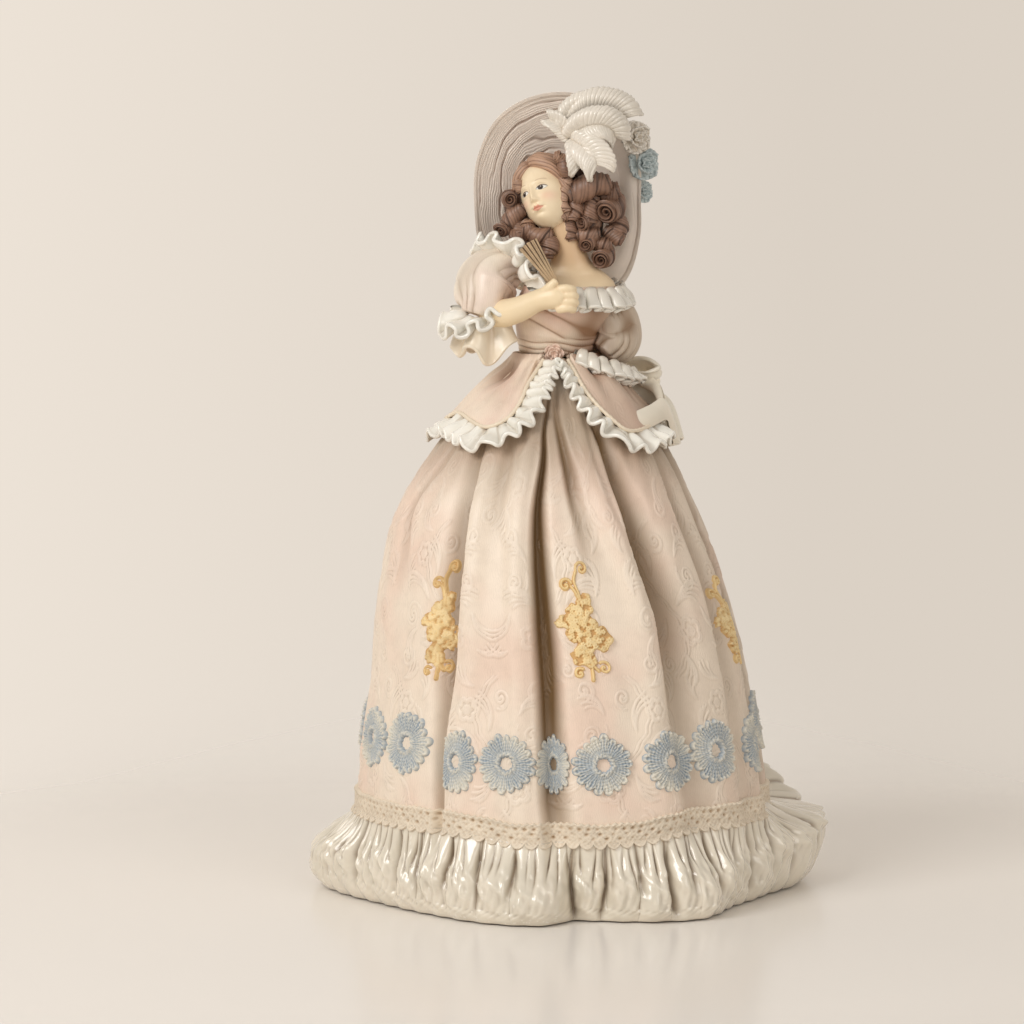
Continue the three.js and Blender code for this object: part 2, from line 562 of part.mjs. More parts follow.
// Hem ruffle: flares from the seam, turns under and stands on the floor
function makeHemRuffle() {
  return solid(loopBody(SKIRT_ANGLES.map((angle, i) => {
    const pleat = i % 2 ? HEM_PLEAT_DEPTH : -HEM_PLEAT_DEPTH;
    const hem = FOOT_RADIUS + through(HEM_OUTLINE, angle, 360);
    const seam = through(SKIRT_PROFILE, HEM_TOP) - foldDepth(angle, HEM_TOP) + HEM_THICKNESS;
    const centre = through(SKIRT_PROFILE, HEM_TOP, 0, 2);
    const at = (radius, height) => new THREE.Vector3(
      centre + radius * Math.sin(rad(angle)),
      -radius * Math.cos(rad(angle)) * SKIRT_DEPTH_SHARE,
      height,
    );
    const inside = SKIRT_ROWS.filter((height) => height <= HEM_TOP)
      .map((height) => skirtPoint(angle, height, HEM_SEAT_GAP));
    const foot = Math.max(hem - HEM_ROLL, through(SKIRT_PROFILE, SKIRT_BOTTOM) + HEM_THICKNESS);
    return [
      inside[0].clone().setZ(HEM_FLOOR_GAP), ...inside,
      at(seam, HEM_TOP),
      at(seam + (hem - seam) * 0.5 + pleat, HEM_TOP * 0.68),
      at(hem + pleat / 2, HEM_FLOOR_GAP + HEM_ROLL * 1.2),
      at(Math.max(hem - HEM_ROLL / 4, foot + HEM_THICKNESS), HEM_FLOOR_GAP + HEM_ROLL / 2.4),
      at(foot, HEM_FLOOR_GAP),
    ];
  })));
}

function makeLaceBand() {
  const low = HEM_TOP + GLUE_GAP;
  const [seat, face] = [LACE_SEAT, LACE_SEAT + LACE_THICKNESS];
  const rings = SKIRT_ANGLES.map((angle) => [
    skirtPoint(angle, low, seat), skirtPoint(angle, low, face),
    skirtPoint(angle, LACE_TOP, face), skirtPoint(angle, LACE_TOP, seat),
  ]);
  return solid(loopBody(rings));
}

// A flat outline laid on the skirt round an angle and a height
function applique(outline, angle, height, thickness) {
  const radius = through(SKIRT_PROFILE, height);
  const wrap = (p, lift) => skirtPoint(angle + THREE.MathUtils.radToDeg(p.x / radius), height + p.y, lift);
  const points = outline.map(([x, y]) => new THREE.Vector2(x, y));
  const flat = THREE.ShapeUtils.triangulateShape(points, []);
  const count = points.length;
  const faces = flat.flatMap(([a, b, c]) => [[a, b, c], [a + count, c + count, b + count]]);
  for (const i of span(count)) {
    const j = (i + 1) % count;
    faces.push([i, i + count, j], [j, i + count, j + count]);
  }
  const positions = [...points.map((p) => wrap(p, APPLIQUE_SEAT + thickness)),
    ...points.map((p) => wrap(p, APPLIQUE_SEAT))];
  return solid(bodyFrom(positions, faces));
}

function daisyOutline(share) {
  return span(2 * DAISY_PETALS).map((i) => {
    const reach = (DAISY_DIAMETER / 2) * (i % 2 ? 0.86 : 1);
    const angle = (Math.PI * i) / DAISY_PETALS;
    return [reach * share * Math.cos(angle), reach * Math.sin(angle)];
  });
}

// The daisies in the list, then the rest at an even pitch round the back
function allDaisies() {
  const [first, last] = [DAISIES[0][0], DAISIES.at(-1)[0]];
  const pitch = (360 - (last - first)) / (DAISY_BACK_COUNT + 1);
  return [...DAISIES, ...span(DAISY_BACK_COUNT).map((i) => [last + (i + 1) * pitch, 1])];
}

// Overskirt, its piping and its ruffle
const overskirtPoint = (angle, height, lift) => skirtPoint(
  angle, height, lift + OVERSKIRT_LIFT, OVERSKIRT_FOLD_SHARE);

function makeOverskirt() {
  const columns = EDGE_RUFFLE_FLUTES;
  const rows = 3;
  const face = (lift) => span(rows + 1).map((i) => span(columns + 1).map((j) => {
    const [angle, low] = pathAt(OVERSKIRT_EDGE, j / columns);
    const top = WAIST_HEIGHT - OVERSKIRT_TOP_DROP;
    return overskirtPoint(angle, top + (low - top) * (i / rows), lift);
  }));
  return solid(sheetBody(face(OVERSKIRT_THICKNESS), face(0)));
}

// Frame on the overskirt's edge: the point, the way down the cloth and the way out
function edgeFrame(t) {
  const at = (s) => {
    const [angle, height] = pathAt(OVERSKIRT_EDGE, Math.min(Math.max(s, 0), 1));
    return { angle, height };
  };
  const { angle, height } = at(t);
  const point = overskirtPoint(angle, height, OVERSKIRT_THICKNESS / 2);
  const out = overskirtPoint(angle, height, OVERSKIRT_THICKNESS / 2 + 1).sub(point).normalize();
  const [a, b] = [at(t - 0.004), at(t + 0.004)];
  const along = overskirtPoint(b.angle, b.height, OVERSKIRT_THICKNESS / 2)
    .sub(overskirtPoint(a.angle, a.height, OVERSKIRT_THICKNESS / 2)).normalize();
  const down = out.clone().cross(along).normalize();
  return { point, out, down };
}

function makePiping() {
  const steps = EDGE_RUFFLE_FLUTES;
  const sides = 5;
  const rings = span(steps + 1).map((i) => {
    const { point, out, down } = edgeFrame(i / steps);
    const centre = point.addScaledVector(down, PIPING_DIAMETER / 2 + 2 * GLUE_GAP)
      .addScaledVector(out, PIPING_DIAMETER / 4);
    return span(sides).map((j) => {
      const angle = (2 * Math.PI * j) / sides;
      return centre.clone().addScaledVector(down, (PIPING_DIAMETER / 2) * Math.cos(angle))
        .addScaledVector(out, (PIPING_DIAMETER / 2) * Math.sin(angle));
    });
  });
  return solid(ringBody(rings));
}

function makeEdgeRuffle() {
  const start = PIPING_DIAMETER + 4 * GLUE_GAP;
  const surface = (u, v) => {
    const { point, out, down } = edgeFrame(u);
    const flute = Math.cos(2 * Math.PI * EDGE_RUFFLE_FLUTES * u);
    return point.addScaledVector(down, start + v * through(EDGE_RUFFLE_WIDTHS, u))
      .addScaledVector(out, v * EDGE_RUFFLE_FLARE + EDGE_RUFFLE_WAVE * (0.3 + 0.7 * v) * flute);
  };
  return solid(thickSheet(surface, 2, EDGE_RUFFLE_FLUTES * 2, EDGE_RUFFLE_THICKNESS));
}

// Petals round a centre, as a small rosette facing along a direction
function blossom(at, facing, diameter, depth, petals) {
  const sides = petals * 4;
  const out = facing.clone().normalize();
  const side = new THREE.Vector3(0, 0, 1).cross(out).normalize();
  const up = out.clone().cross(side);
  const ring = (share, lift) => span(sides).map((j) => {
    const angle = (2 * Math.PI * j) / sides;
    const reach = (diameter / 2) * share * (1 - 0.16 * (1 - Math.abs(Math.cos((petals * angle) / 2))));
    return at.clone().addScaledVector(side, reach * Math.cos(angle))
      .addScaledVector(up, reach * Math.sin(angle)).addScaledVector(out, lift);
  });
  return solid(ringBody([
    ring(0.55, -depth / 2), ring(1, 0), ring(0.86, depth * 0.4), ring(0.4, depth / 2),
  ]));
}

// Head: an oval with a tapered jaw, a nose and shallow eye hollows
const headPose = new THREE.Matrix4()
  .makeRotationZ(rad(HEAD_YAW))
  .multiply(new THREE.Matrix4().makeRotationX(rad(-HEAD_PITCH)))
  .multiply(new THREE.Matrix4().makeRotationY(rad(-HEAD_ROLL)))
  .setPosition(fromWaist(HEAD_CENTRE));

function headSurface(across, up) {
  const point = new THREE.Vector3(
    HEAD_HALF_WIDTH * Math.cos(up) * Math.sin(across),
    -HEAD_HALF_DEPTH * Math.cos(up) * Math.cos(across),
    HEAD_HALF_HEIGHT * Math.sin(up),
  );
  const low = Math.max(-point.z / HEAD_HALF_HEIGHT, 0);
  point.x *= 1 - 0.34 * low ** 1.6;
  const front = Math.max(-point.y / HEAD_HALF_DEPTH, 0);
  const bump = (x, z, wide, tall) => front
    * Math.exp(-(((point.x - x) / wide) ** 2) - (((point.z - z) / tall) ** 2));
  point.y -= NOSE_LENGTH * bump(0, -3.2, 1.5, 2.6);
  point.y -= 0.8 * bump(0, -10.2, 2.6, 1.8);
  point.y += 0.8 * (bump(3.5, 0.4, 2, 1.4) + bump(-3.5, 0.4, 2, 1.4));
  return point;
}

function makeHead() {
  const [sides, rows] = [18, 12];
  const rings = span(rows - 1).map((i) => span(sides).map(
    (j) => headSurface((2 * Math.PI * j) / sides, -Math.PI / 2 + (Math.PI * (i + 1)) / rows)));
  return solid(ringBody(rings).applyMatrix4(headPose));
}

function ellipsoid(centre, half, sides, rows) {
  return solid(ringBody(span(rows - 1).map((i) => span(sides).map((j) => {
    const [around, up] = [(2 * Math.PI * j) / sides, -Math.PI / 2 + (Math.PI * (i + 1)) / rows];
    return new THREE.Vector3(
      centre[0] + half[0] * Math.cos(up) * Math.cos(around),
      centre[1] + half[1] * Math.cos(up) * Math.sin(around),
      centre[2] + half[2] * Math.sin(up),
    );
  }))));
}

function makeHair() {
  const cap = ellipsoid([0, HAIR_SET_BACK, HAIR_SET_UP], [HEAD_HALF_WIDTH + HAIR_THICKNESS,
    HEAD_HALF_DEPTH + HAIR_THICKNESS / 2, HEAD_HALF_HEIGHT], 16, 9);
  return cap.transform(headPose.elements);
}

// Ringlets: short fat rolls on a shared core of hair
function roll(from, to, radius) {
  const [a, b] = [vec(from), vec(to)];
  const reach = b.clone().sub(a);
  const way = reach.clone().normalize();
  const length = reach.length();
  const stations = [[-radius * 0.5, 0.72], [0, 1], [length, 0.92], [length + radius * 0.5, 0.6]];
  return solid(limb(stations.map(([along, share]) => [
    ...a.clone().addScaledVector(way, along).toArray(), radius * share]), 6, 3));
}

function makeCurls(curls, core) {
  const thins = (i) => (i === core.length - 1 ? 0.8 : 1);
  const backing = solid(limb(core.map((p, i) => [...p, CORE_RADIUS * thins(i)]), 8, 6));
  return joined(backing, ...curls.map(([from, to, radius]) => roll(from, to, radius)));
}

// Hat: a dished brim, a crown behind it and a ribbon round the crown
function brimPoint(angle, share, lift) {
  const rim = through(BRIM_OUTLINE, angle, 360);
  const radius = BRIM_HOLE_RADIUS + (rim - BRIM_HOLE_RADIUS) * share;
  const [x, z] = [Math.cos(rad(angle)), Math.sin(rad(angle))];
  const dish = z > 0
    ? BRIM_DISH_SIDE + (BRIM_DISH_TOP - BRIM_DISH_SIDE) * z * z
    : BRIM_DISH_SIDE + (BRIM_DISH_BOTTOM - BRIM_DISH_SIDE) * z * z;
  return fromWaist([BRIM_CENTRE[0] + radius * x, BRIM_CENTRE[1] - dish * share ** 1.6 + lift,
    BRIM_CENTRE[2] + radius * z]);
}

function makeBrim() {
  const sides = 32;
  const shares = [0, 0.5, 1];
  const rings = span(sides).map((j) => {
    const angle = (360 * j) / sides;
    return [...shares.map((s) => brimPoint(angle, s, 0)),
      ...shares.toReversed().map((s) => brimPoint(angle, s, BRIM_THICKNESS))];
  });
  return solid(loopBody(rings));
}

function hatRing(radius, back, sides) {
  return span(sides).map((j) => {
    const angle = (2 * Math.PI * j) / sides;
    return fromWaist([BRIM_CENTRE[0] + radius * Math.cos(angle), BRIM_CENTRE[1] + back,
      BRIM_CENTRE[2] + radius * Math.sin(angle)]);
  });
}

function makeHatCrown() {
  const seat = BRIM_THICKNESS + GLUE_GAP;
  const rows = [[1, 0], [1, 0.36], [0.86, 0.7], [0.5, 1]];
  const outside = rows.map(
    ([wide, back]) => hatRing(HAT_CROWN_RADIUS * wide, seat + HAT_CROWN_HEIGHT * back, 20));
  return solid(ringBody(outside));
}

function makeHatRibbon() {
  const start = BRIM_THICKNESS + 2 * GLUE_GAP;
  const inner = HAT_CROWN_RADIUS + GLUE_GAP;
  const outer = inner + RIBBON_THICKNESS;
  const end = start + RIBBON_HEIGHT;
  const section = [[inner, start], [outer, start], [outer, end], [inner, end]];
  const rings = section.map(([radius, back]) => hatRing(radius, back, 20));
  return solid(loopBody(rings));
}

// Plumes: broad leaves that bend over their spine
function makePlume({ spine, half, thickness, droop }) {
  const surface = (u, v) => {
    const foot = fromWaist(pathAt(spine, v));
    const along = heading(spine, v);
    const out = new THREE.Vector3(0, -1, 0).addScaledVector(along, along.y).normalize();
    const side = along.clone().cross(out);
    const reach = half * (0.3 + 0.7 * Math.sin(Math.PI * (0.16 + 0.74 * v)));
    const t = 2 * u - 1;
    return foot.addScaledVector(side, reach * t).addScaledVector(out, -droop * t * t)
      .addScaledVector(along, reach * 0.45 * Math.abs(t) * v);
  };
  const size = (u) => thickness * (1 - 0.55 * Math.abs(2 * u - 1));
  return solid(thickSheet(surface, 6, 4, size));
}

// Closed fan: a wedge of sticks
function makeFan() {
  const [base, tip] = [fromWaist(FAN_BASE), fromWaist(FAN_TIP)];
  const along = tip.clone().sub(base).normalize();
  const out = new THREE.Vector3(0, -1, 0).addScaledVector(along, along.y).normalize();
  const side = along.clone().cross(out);
  const ring = (centre, width) => [[1, 0.3], [0.5, 0.5], [-0.5, 0.5], [-1, 0.3], [-1, -0.5], [1, -0.5]].map(
    ([x, y]) => centre.clone().addScaledVector(side, (width / 2) * x)
      .addScaledVector(out, FAN_THICKNESS * y));
  return solid(ringBody([ring(base.clone().addScaledVector(along, -4), FAN_BASE_WIDTH),
    ring(base, FAN_BASE_WIDTH), ring(tip, FAN_TIP_WIDTH)]));
}

// Bow: flattened loops from a knot, and ribbon tails
function makeBowLoops() {
  const loops = BOW_LOOPS.map(({ root, tip, half, depth }) => {
    const [a, b] = [fromWaist(root), fromWaist(tip)];
    const along = b.clone().sub(a);
    const side = new THREE.Vector3(0, 0, 1);
    const out = along.clone().cross(side).normalize();
    const rows = [[0, 0.42], [0.3, 0.8], [0.7, 1], [1, 0.72]];
    return solid(ringBody(rows.map(([t, share]) => span(10).map((j) => {
      const angle = (2 * Math.PI * j) / 10;
      return a.clone().addScaledVector(along, t).addScaledVector(side, half * share * Math.cos(angle))
        .addScaledVector(out, -depth * share * Math.sin(angle));
    }))));
  });
  const knot = ellipsoid([0, 0, 0], [BOW_KNOT.radius, BOW_KNOT.radius, BOW_KNOT.radius], 10, 6)
    .translate(fromWaist(BOW_KNOT.at).toArray());
  return joined(knot, ...loops);
}

function makeBowTails() {
  const tails = BOW_TAILS.map(({ line, half }) => solid(thickSheet((u, v) => {
    const foot = fromWaist(pathAt(line, v));
    const along = heading(line, v);
    const away = new THREE.Vector3(foot.x, foot.y, 0).normalize();
    const side = along.clone().cross(away).normalize();
    const out = side.clone().cross(along);
    const t = 2 * u - 1;
    return foot.addScaledVector(side, half * t * (0.55 + 0.45 * v))
      .addScaledVector(out, BOW_FOLD_DEPTH * Math.cos(1.5 * Math.PI * t));
  }, 4, 5, BOW_RIBBON_THICKNESS)));
  const yoke = solid(limb([[...BOW_TAILS[0].line[0], 2.6], [...BOW_TAILS[1].line[0], 2.6]], 6, 2));
  return joined(yoke, ...tails);
}

// The pieces, from the inside out. Each is cut clear of those named after it in its row.
const figurine = new THREE.Group();
const uncut = {};
const FINISH = {
  matt: { roughness: 0.8, metalness: 0 },
  satin: { roughness: 0.5, metalness: 0 },
  pearl: { roughness: 0.3, metalness: 0 },
};

function place(name, body, colour, finish, clearOf = []) {
  uncut[name] = body;
  const cut = clearOf.reduce((rest, other) => rest.subtract(grown(uncut[other], GLUE_GAP)), body);
  const material = new THREE.MeshStandardMaterial({ color: COLOUR[colour], ...FINISH[finish] });
  const mesh = new THREE.Mesh(geometryOf(largest(cut)), material);
  mesh.name = name;
  figurine.add(mesh);
}

function placeBase() {
  const low = FELT_THICKNESS + GLUE_GAP;
  const vent = disc(VENT_DIAMETER, low - CUT_DEPTH, low + BASE_THICKNESS + CUT_DEPTH, 24)
    .translate([VENT_OFFSET, 0, 0]);
  place('felt_pad', disc(FELT_DIAMETER, 0, FELT_THICKNESS, 48), 'felt', 'matt');
  place('base_plate', disc(BASE_DIAMETER, low, low + BASE_THICKNESS, 48).subtract(vent), 'board', 'matt');
}

function placeSkirt() {
  place('skirt_shell', hollowOut(makeSkirtOutside()), 'bisque', 'matt');
  uncut.skirt_shell = makeSkirtOutside();
  place('hem_ruffle', makeHemRuffle(), 'pearl', 'pearl');
  place('lace_band', makeLaceBand(), 'lace', 'matt');
  GOLD_ANGLES.forEach((angle, i) => {
    const body = applique(GOLD_OUTLINE, angle, GOLD_HEIGHT, GOLD_THICKNESS);
    place(`gold_applique_${i + 1}`, body, 'gold', 'satin', ['skirt_shell']);
  });
  allDaisies().forEach(([angle, share], i) => {
    const height = DAISY_HEIGHT + DAISY_SIDE_RISE * Math.sin(rad(angle)) ** 2;
    const body = applique(daisyOutline(share), angle, height, DAISY_THICKNESS);
    place(`daisy_${String(i + 1).padStart(2, '0')}`, body, 'blue', 'matt', ['skirt_shell']);
  });
}

function placeTorso() {
  const tenon = disc(TENON_DIAMETER, WAIST_HEIGHT - TENON_LENGTH, WAIST_HEIGHT + TENON_LENGTH, 24)
    .translate([WAIST_X, 0, 0]);
  place('bust', solid(torso(BUST_ROWS, 16)), 'skin', 'satin');
  place('bodice', joined(solid(torso(BODICE_ROWS, 24)), tenon), 'bisque', 'matt', ['bust']);
  place('overskirt', makeOverskirt(), 'bisque', 'matt', ['bodice']);
  const front = BODICE_ROWS[0][1] - BODICE_ROWS[0][4];
  const rosette = blossom(fromWaist([ROSETTE_X, front - ROSETTE_THICKNESS, ROSETTE_RISE]),
    new THREE.Vector3(0, -1, 0.1), ROSETTE_DIAMETER, ROSETTE_THICKNESS * 2, ROSETTE_PETALS);
  place('waist_rosette', rosette, 'rose', 'satin', ['bodice', 'overskirt']);
  place('overskirt_piping', makePiping(), 'lace', 'satin', ['waist_rosette', 'bodice']);
  place('overskirt_ruffle', makeEdgeRuffle(), 'pearl', 'pearl', ['waist_rosette']);
}

function placeHeadAndArms() {
  place('head', makeHead(), 'skin', 'satin', ['bust']);
  place('hair_crown', makeHair(), 'hair', 'satin', ['head', 'bust']);
  place('forearm_right', solid(limb(FOREARM_RIGHT, 10, 12)), 'skin', 'satin', ['bodice', 'bust']);
  place('fan', makeFan(), 'fan', 'satin', ['forearm_right', 'bust', 'bodice']);
  place('curls_right', makeCurls(CURLS_RIGHT, CURLS_RIGHT_CORE), 'hair', 'satin',
    ['head', 'hair_crown', 'bust', 'bodice']);
  place('curls_left', makeCurls(CURLS_LEFT, CURLS_LEFT_CORE), 'hair', 'satin',
    ['head', 'hair_crown', 'bust', 'curls_right', 'fan']);
  place('sleeve_right', solid(limb(SLEEVE_RIGHT, 12, 9)), 'sleeve', 'satin',
    ['bodice', 'bust', 'forearm_right', 'curls_left']);
  place('sleeve_left', solid(limb(SLEEVE_LEFT, 12, 9)), 'sleeve', 'satin', ['bodice', 'bust', 'overskirt']);
  place('forearm_left', solid(limb(FOREARM_LEFT, 8, 7)), 'skin', 'satin',
    ['bodice', 'sleeve_left', 'overskirt', 'skirt_shell']);
}

function placeFrills() {
  place('neckline_ruffle', solid(frill(NECK_FRILL)), 'pearl', 'pearl',
    ['bodice', 'bust', 'sleeve_left', 'sleeve_right', 'forearm_right', 'fan']);
  place('shoulder_ruffle', solid(frill(SHOULDER_FRILL)), 'pearl', 'pearl',
    ['bodice', 'bust', 'sleeve_right', 'forearm_right', 'fan', 'curls_left', 'neckline_ruffle']);
  place('cuff_ruffle_right', solid(frill(CUFF_FRILL_RIGHT)), 'pearl', 'pearl',
    ['sleeve_right', 'forearm_right', 'bodice']);
  place('flounce_right', solid(frill(FLOUNCE_RIGHT)), 'pearl', 'pearl',
    ['sleeve_right', 'forearm_right', 'cuff_ruffle_right', 'bodice']);
  place('cuff_ruffle_left', solid(frill(CUFF_FRILL_LEFT)), 'pearl', 'pearl',
    ['bodice', 'sleeve_left', 'overskirt', 'waist_rosette', 'overskirt_ruffle']);
  place('bow_loops', makeBowLoops(), 'ribbon', 'pearl',
    ['overskirt', 'sleeve_left', 'forearm_left', 'cuff_ruffle_left', 'bodice']);
  place('bow_tails', makeBowTails(), 'ribbon', 'pearl', ['bow_loops', 'overskirt_ruffle', 'overskirt']);
}

function placeHat() {
  place('hat_brim', makeBrim(), 'straw', 'matt', ['hair_crown', 'curls_right', 'curls_left', 'bust',
    'bodice', 'sleeve_right', 'sleeve_left', 'shoulder_ruffle', 'neckline_ruffle']);
  place('hat_crown', makeHatCrown(), 'straw', 'matt', ['hair_crown']);
  place('hat_ribbon', makeHatRibbon(), 'ribbon', 'pearl');
  const trimmed = ['hat_brim'];
  for (const plume of PLUMES) {
    place(plume.name, makePlume(plume), 'plume', 'pearl', [...trimmed, 'hair_crown', 'curls_right']);
    trimmed.push(plume.name);
  }
  for (const { name, colour, at, diameter, petals } of HAT_FLOWERS) {
    const body = blossom(fromWaist(at), new THREE.Vector3(0.7, -0.7, 0.1), diameter,
      diameter * FLOWER_DEPTH_SHARE, petals);
    place(name, body, colour, 'satin', trimmed);
    trimmed.push(name);
  }
}

placeBase();
placeSkirt();
placeTorso();
placeHeadAndArms();
placeFrills();
placeHat();

export default figurine;
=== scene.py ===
# A cast figurine of a lady in a crinoline dress. Her looks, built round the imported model.
# Lengths are millimetres here, and every mesh is stored in metres.
import math

import bpy
import numpy as np
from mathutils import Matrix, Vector


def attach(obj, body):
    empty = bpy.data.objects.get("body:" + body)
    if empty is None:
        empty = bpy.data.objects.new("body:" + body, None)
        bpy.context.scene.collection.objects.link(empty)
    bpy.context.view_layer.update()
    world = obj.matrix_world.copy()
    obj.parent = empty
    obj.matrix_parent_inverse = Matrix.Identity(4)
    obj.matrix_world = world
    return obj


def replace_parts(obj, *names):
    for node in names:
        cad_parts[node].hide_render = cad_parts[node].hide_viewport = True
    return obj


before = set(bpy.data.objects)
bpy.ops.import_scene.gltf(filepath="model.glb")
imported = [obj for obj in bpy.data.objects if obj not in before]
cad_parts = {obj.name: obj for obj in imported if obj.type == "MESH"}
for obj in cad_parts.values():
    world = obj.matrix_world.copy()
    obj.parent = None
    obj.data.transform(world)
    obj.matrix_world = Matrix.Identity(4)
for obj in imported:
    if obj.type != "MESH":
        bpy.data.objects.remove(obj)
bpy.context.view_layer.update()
WAIST = 214.0
AT_WAIST = np.array([0, 0, WAIST])
SKIRT_BOTTOM = 1.5
DEPTH_SHARE = 0.96


# Curves and points
def through(rows, x, period=0.0):
    """Smooth curve through rows of [position, value, ...], read at every x."""
    core = np.asarray(rows, float)
    x = np.asarray(x, float)
    shift = np.zeros(core.shape[1])
    shift[0] = period
    if period:
        x = core[0, 0] + (x - core[0, 0]) % period
        core = np.vstack([core, core[0] + shift])
        table = np.vstack([core[-2] - shift, core, core[1] + shift])
    else:
        table = np.vstack([core[0], core, core[-1]])
    i = np.clip(np.searchsorted(core[:, 0], x, "left") - 1, 0, len(core) - 2)
    a, b, c, d = table[i], table[i + 1], table[i + 2], table[i + 3]
    width = (c - b)[..., :1]
    t = np.clip((x[..., None] - b[..., :1]) / width, 0, 1)
    start = (c - a) / np.maximum((c - a)[..., :1], 1e-9) * width
    end = (d - b) / np.maximum((d - b)[..., :1], 1e-9) * width
    value = ((2 * t**3 - 3 * t**2 + 1) * b + (t**3 - 2 * t**2 + t) * start
             + (3 * t**2 - 2 * t**3) * c + (t**3 - t**2) * end)[..., 1:]
    return value[..., 0] if value.shape[-1] == 1 else value


def path(points, t):
    """Smooth line through points, read at shares from 0 to 1."""
    points = np.asarray(points, float)
    rows = np.column_stack([np.linspace(0, 1, len(points)), points])
    return through(rows, t)


def step(x, low, high):
    t = np.clip((np.asarray(x, float) - low) / (high - low), 0, 1)
    return t * t * (3 - 2 * t)


def fade(x, low, high):
    return 1 - step(x, low, high)


def clamp(x):
    return np.clip(x, 0, 1)


def bell(away, width):
    """1 in the middle, falling off on both sides over about the width."""
    return np.exp(-((away / width) ** 2))


def circle(count):
    """Angles spaced evenly round a full turn."""
    return np.linspace(0, 2 * np.pi, count, endpoint=False)


def grid_of(u, v):
    return np.meshgrid(u, v, indexing="ij")


def unit(v):
    return v / np.maximum(np.linalg.norm(v, axis=-1, keepdims=True), 1e-9)


def normals(grid_points, wrap_u=False):
    """Normals of a grid of points: along the columns cross along the rows."""
    if wrap_u:
        du = np.roll(grid_points, -1, 0) - np.roll(grid_points, 1, 0)
    else:
        du = np.gradient(grid_points, axis=0)
    return unit(np.cross(du, np.gradient(grid_points, axis=1)))


# Meshes
def volume(points, faces):
    """Six times the signed volume: negative where the faces point inward."""
    corner = points[faces] - points.mean(0)
    fans = [np.cross(corner[:, k], corner[:, k + 1]) for k in range(1, faces.shape[1] - 1)]
    return sum(np.einsum("ij,ij->", corner[:, 0], fan) for fan in fans)


def make(name, points, faces, material, smooth=True):
    points = np.asarray(points, float).reshape(-1, 3) / 1000
    faces = np.asarray(faces, np.int32)
    if volume(points, faces) < 0:
        faces = faces[:, ::-1]
    data = bpy.data.meshes.new(name)
    data.vertices.add(len(points))
    data.vertices.foreach_set("co", points.astype(np.float32).ravel())
    data.loops.add(faces.size)
    data.loops.foreach_set("vertex_index", faces.ravel())
    data.polygons.add(len(faces))
    data.polygons.foreach_set("loop_start", np.arange(0, faces.size, faces.shape[1], dtype=np.int32))
    data.polygons.foreach_set("use_smooth", np.full(len(faces), smooth))
    data.update(calc_edges=True)
    data.validate()
    obj = bpy.data.objects.new(name, data)
    bpy.context.scene.collection.objects.link(obj)
    data.materials.append(material)
    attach(obj, "root")
    return obj


def grid_faces(n, m, wrap_u=False, wrap_v=False, start=0):
    index = np.arange(n * m).reshape(n, m) + start
    if wrap_u:
        index = np.vstack([index, index[:1]])
    if wrap_v:
        index = np.hstack([index, index[:, :1]])
    return np.stack([index[:-1, :-1], index[1:, :-1], index[1:, 1:], index[:-1, 1:]], -1).reshape(-1, 4)


def surface(name, points, material, slot, wrap_u=False, wrap_v=False, **marks):
    obj = make(name, points, grid_faces(*points.shape[:2], wrap_u, wrap_v), material)
    for key, values in marks.items():
        mark(obj, key, values)
    return obj


def mark(obj, key, values):
    """A number at each point, for the paint to read."""
    layer = obj.data.attributes.new(key, "FLOAT", "POINT")
    layer.data.foreach_set("value", np.asarray(values, np.float32).ravel())


def solidify(obj, thickness, offset=-1.0):
    modifier = obj.modifiers.new("thickness", "SOLIDIFY")
    modifier.thickness = thickness / 1000
    modifier.offset = offset
    return obj


# Paint
def srgb(r, g, b):
    def linear(v):
        v /= 255
        return v / 12.92 if v <= 0.04045 else ((v + 0.055) / 1.055) ** 2.4
    return (linear(r), linear(g), linear(b), 1.0)


